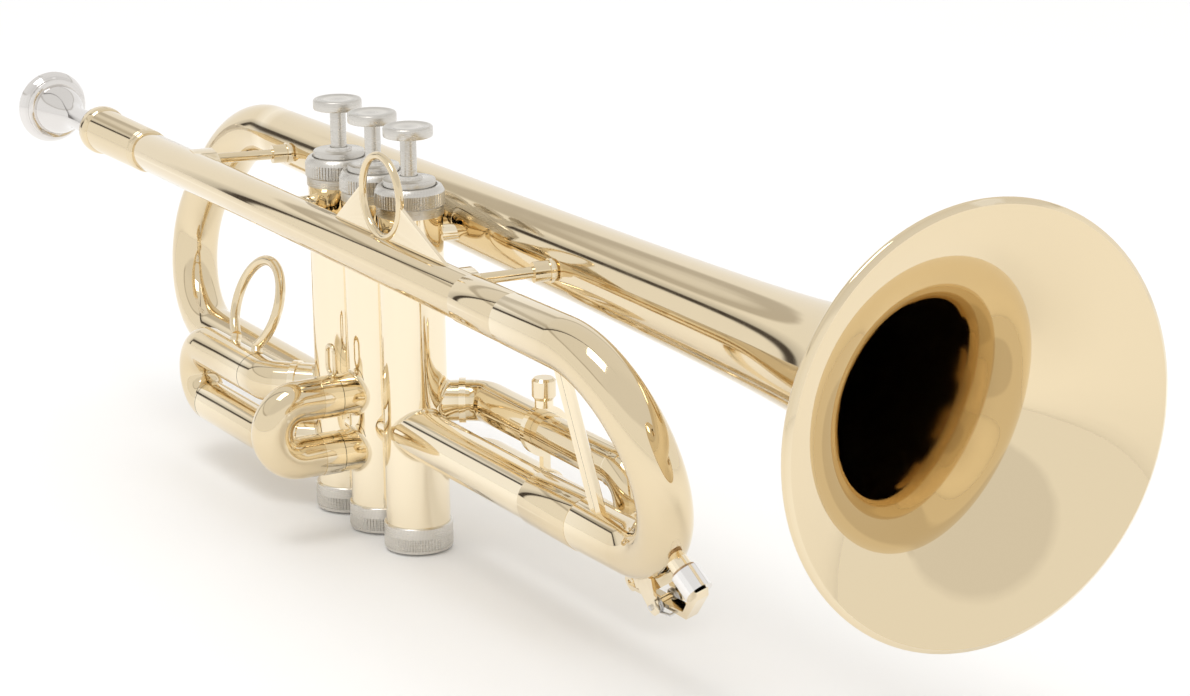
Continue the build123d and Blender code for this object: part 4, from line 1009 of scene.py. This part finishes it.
def make_floor():
    """A pale floor that runs far past the view."""
    half = FLOOR_SIZE / 2
    corners = [(-half, -half, FLOOR_Z), (half, -half, FLOOR_Z), (half, half, FLOOR_Z), (-half, half, FLOOR_Z)]
    mesh = bpy.data.meshes.new("studio_floor")
    mesh.from_pydata(corners, [], [(0, 1, 2, 3)])
    floor = bpy.data.objects.new("studio_floor", mesh)
    bpy.context.scene.collection.objects.link(floor)
    material, tree, shader = node_material("studio_floor")
    shader.inputs["Roughness"].default_value = 0.6
    clouds = noise(tree, 3.0)
    tree.links.new(ramp(tree, clouds, [(0.3, 0.93), (0.7, 0.95)]), shader.inputs["Base Color"])
    mesh.materials.append(material)


def make_world():
    """A white studio: a bright sweep, a grey gap above it, a softer ceiling and one dark upright slot."""
    world = bpy.data.worlds.new("white_studio")
    bpy.context.scene.world = world
    world.use_nodes = True
    tree = world.node_tree
    direction = tree.nodes.new("ShaderNodeTexCoord")
    split = tree.nodes.new("ShaderNodeSeparateXYZ")
    tree.links.new(direction.outputs["Generated"], split.inputs["Vector"])
    wobble = tree.nodes.new("ShaderNodeTexNoise")
    wobble.inputs["Scale"].default_value = GAP_WOBBLE_SCALE
    tree.links.new(direction.outputs["Generated"], wobble.inputs["Vector"])
    shift = tree.nodes.new("ShaderNodeMath")
    shift.operation = "MULTIPLY_ADD"
    tree.links.new(wobble.outputs["Fac"], shift.inputs[0])
    shift.inputs[1].default_value = GAP_WOBBLE
    tree.links.new(split.outputs["Z"], shift.inputs[2])
    low, high = GAP_HEIGHT
    plain = [(low, SWEEP), (high, FRONT_CEILING)]
    gapped = [(low, SWEEP), (low + GAP_EDGE, GAP), (high - GAP_EDGE, GAP), (high, CEILING)]
    side = tree.nodes.new("ShaderNodeMath")
    side.operation = "DIVIDE"
    tree.links.new(split.outputs["Y"], side.inputs[0])
    tree.links.new(split.outputs["X"], side.inputs[1])
    slot = ramp(tree, side.outputs["Value"], SLOT_SIDE)
    back_wall = mixed(tree, slot, ramp(tree, shift.outputs["Value"], gapped), SLOT)
    ahead = ramp(tree, split.outputs["X"], AHEAD)
    room = mixed(tree, ahead, back_wall, ramp(tree, shift.outputs["Value"], plain))
    background = tree.nodes["Background"]
    tree.links.new(room, background.inputs["Color"])
    background.inputs["Strength"].default_value = 1.0


def make_light(name, at, toward, size, power, seen_in_metal=True):
    """A square soft light."""
    light = bpy.data.lights.new(name, "AREA")
    light.shape = "SQUARE"
    light.size = size
    light.energy = power
    lamp = bpy.data.objects.new(name, light)
    direction = Vector(toward) - Vector(at)
    turn = direction.to_track_quat("-Z", "Y").to_matrix()
    lamp.matrix_world = Matrix.Translation(at) @ turn.to_4x4()
    lamp.visible_glossy = seen_in_metal
    bpy.context.scene.collection.objects.link(lamp)


def make_camera():
    """The camera, in front of the instrument and to its right, so that the bell's mouth shows."""
    data = bpy.data.cameras.new("camera")
    data.lens = LENS_MM
    data.sensor_width = SENSOR_MM
    data.clip_start = 0.01
    camera = bpy.data.objects.new("camera", data)
    bpy.context.scene.collection.objects.link(camera)
    back = -CAMERA_FORWARD.normalized()
    up = back.cross(CAMERA_RIGHT).normalized()
    right = up.cross(back)
    rows = zip(right, up, back)
    turn = Matrix([list(row) for row in rows])
    camera.matrix_world = Matrix.Translation(CAMERA_AT) @ turn.to_4x4()
    bpy.context.scene.camera = camera


paint_cad_nodes()
make_bell()
make_rear_bow()
make_mouthpiece()
make_receiver()
make_mouthpipe()
make_lower_leg()
make_tuning_tubes()
make_tuning_bow()
make_slides()
make_fillets()
for number in VALVE_X:
    make_casing(number)
    make_bottom_cap(number)
    make_top_cap(number)
    make_button(number)
make_floor()
make_world()
make_light("key_light", KEY_LIGHT_AT, KEY_LIGHT_TOWARD, KEY_LIGHT_SIZE, KEY_LIGHT_POWER)
make_light("fill_light", FILL_LIGHT_AT, (0.0, 0.0, 0.0), FILL_LIGHT_SIZE, FILL_LIGHT_POWER, False)
make_camera()
bpy.context.scene.view_settings.view_transform = "Standard"
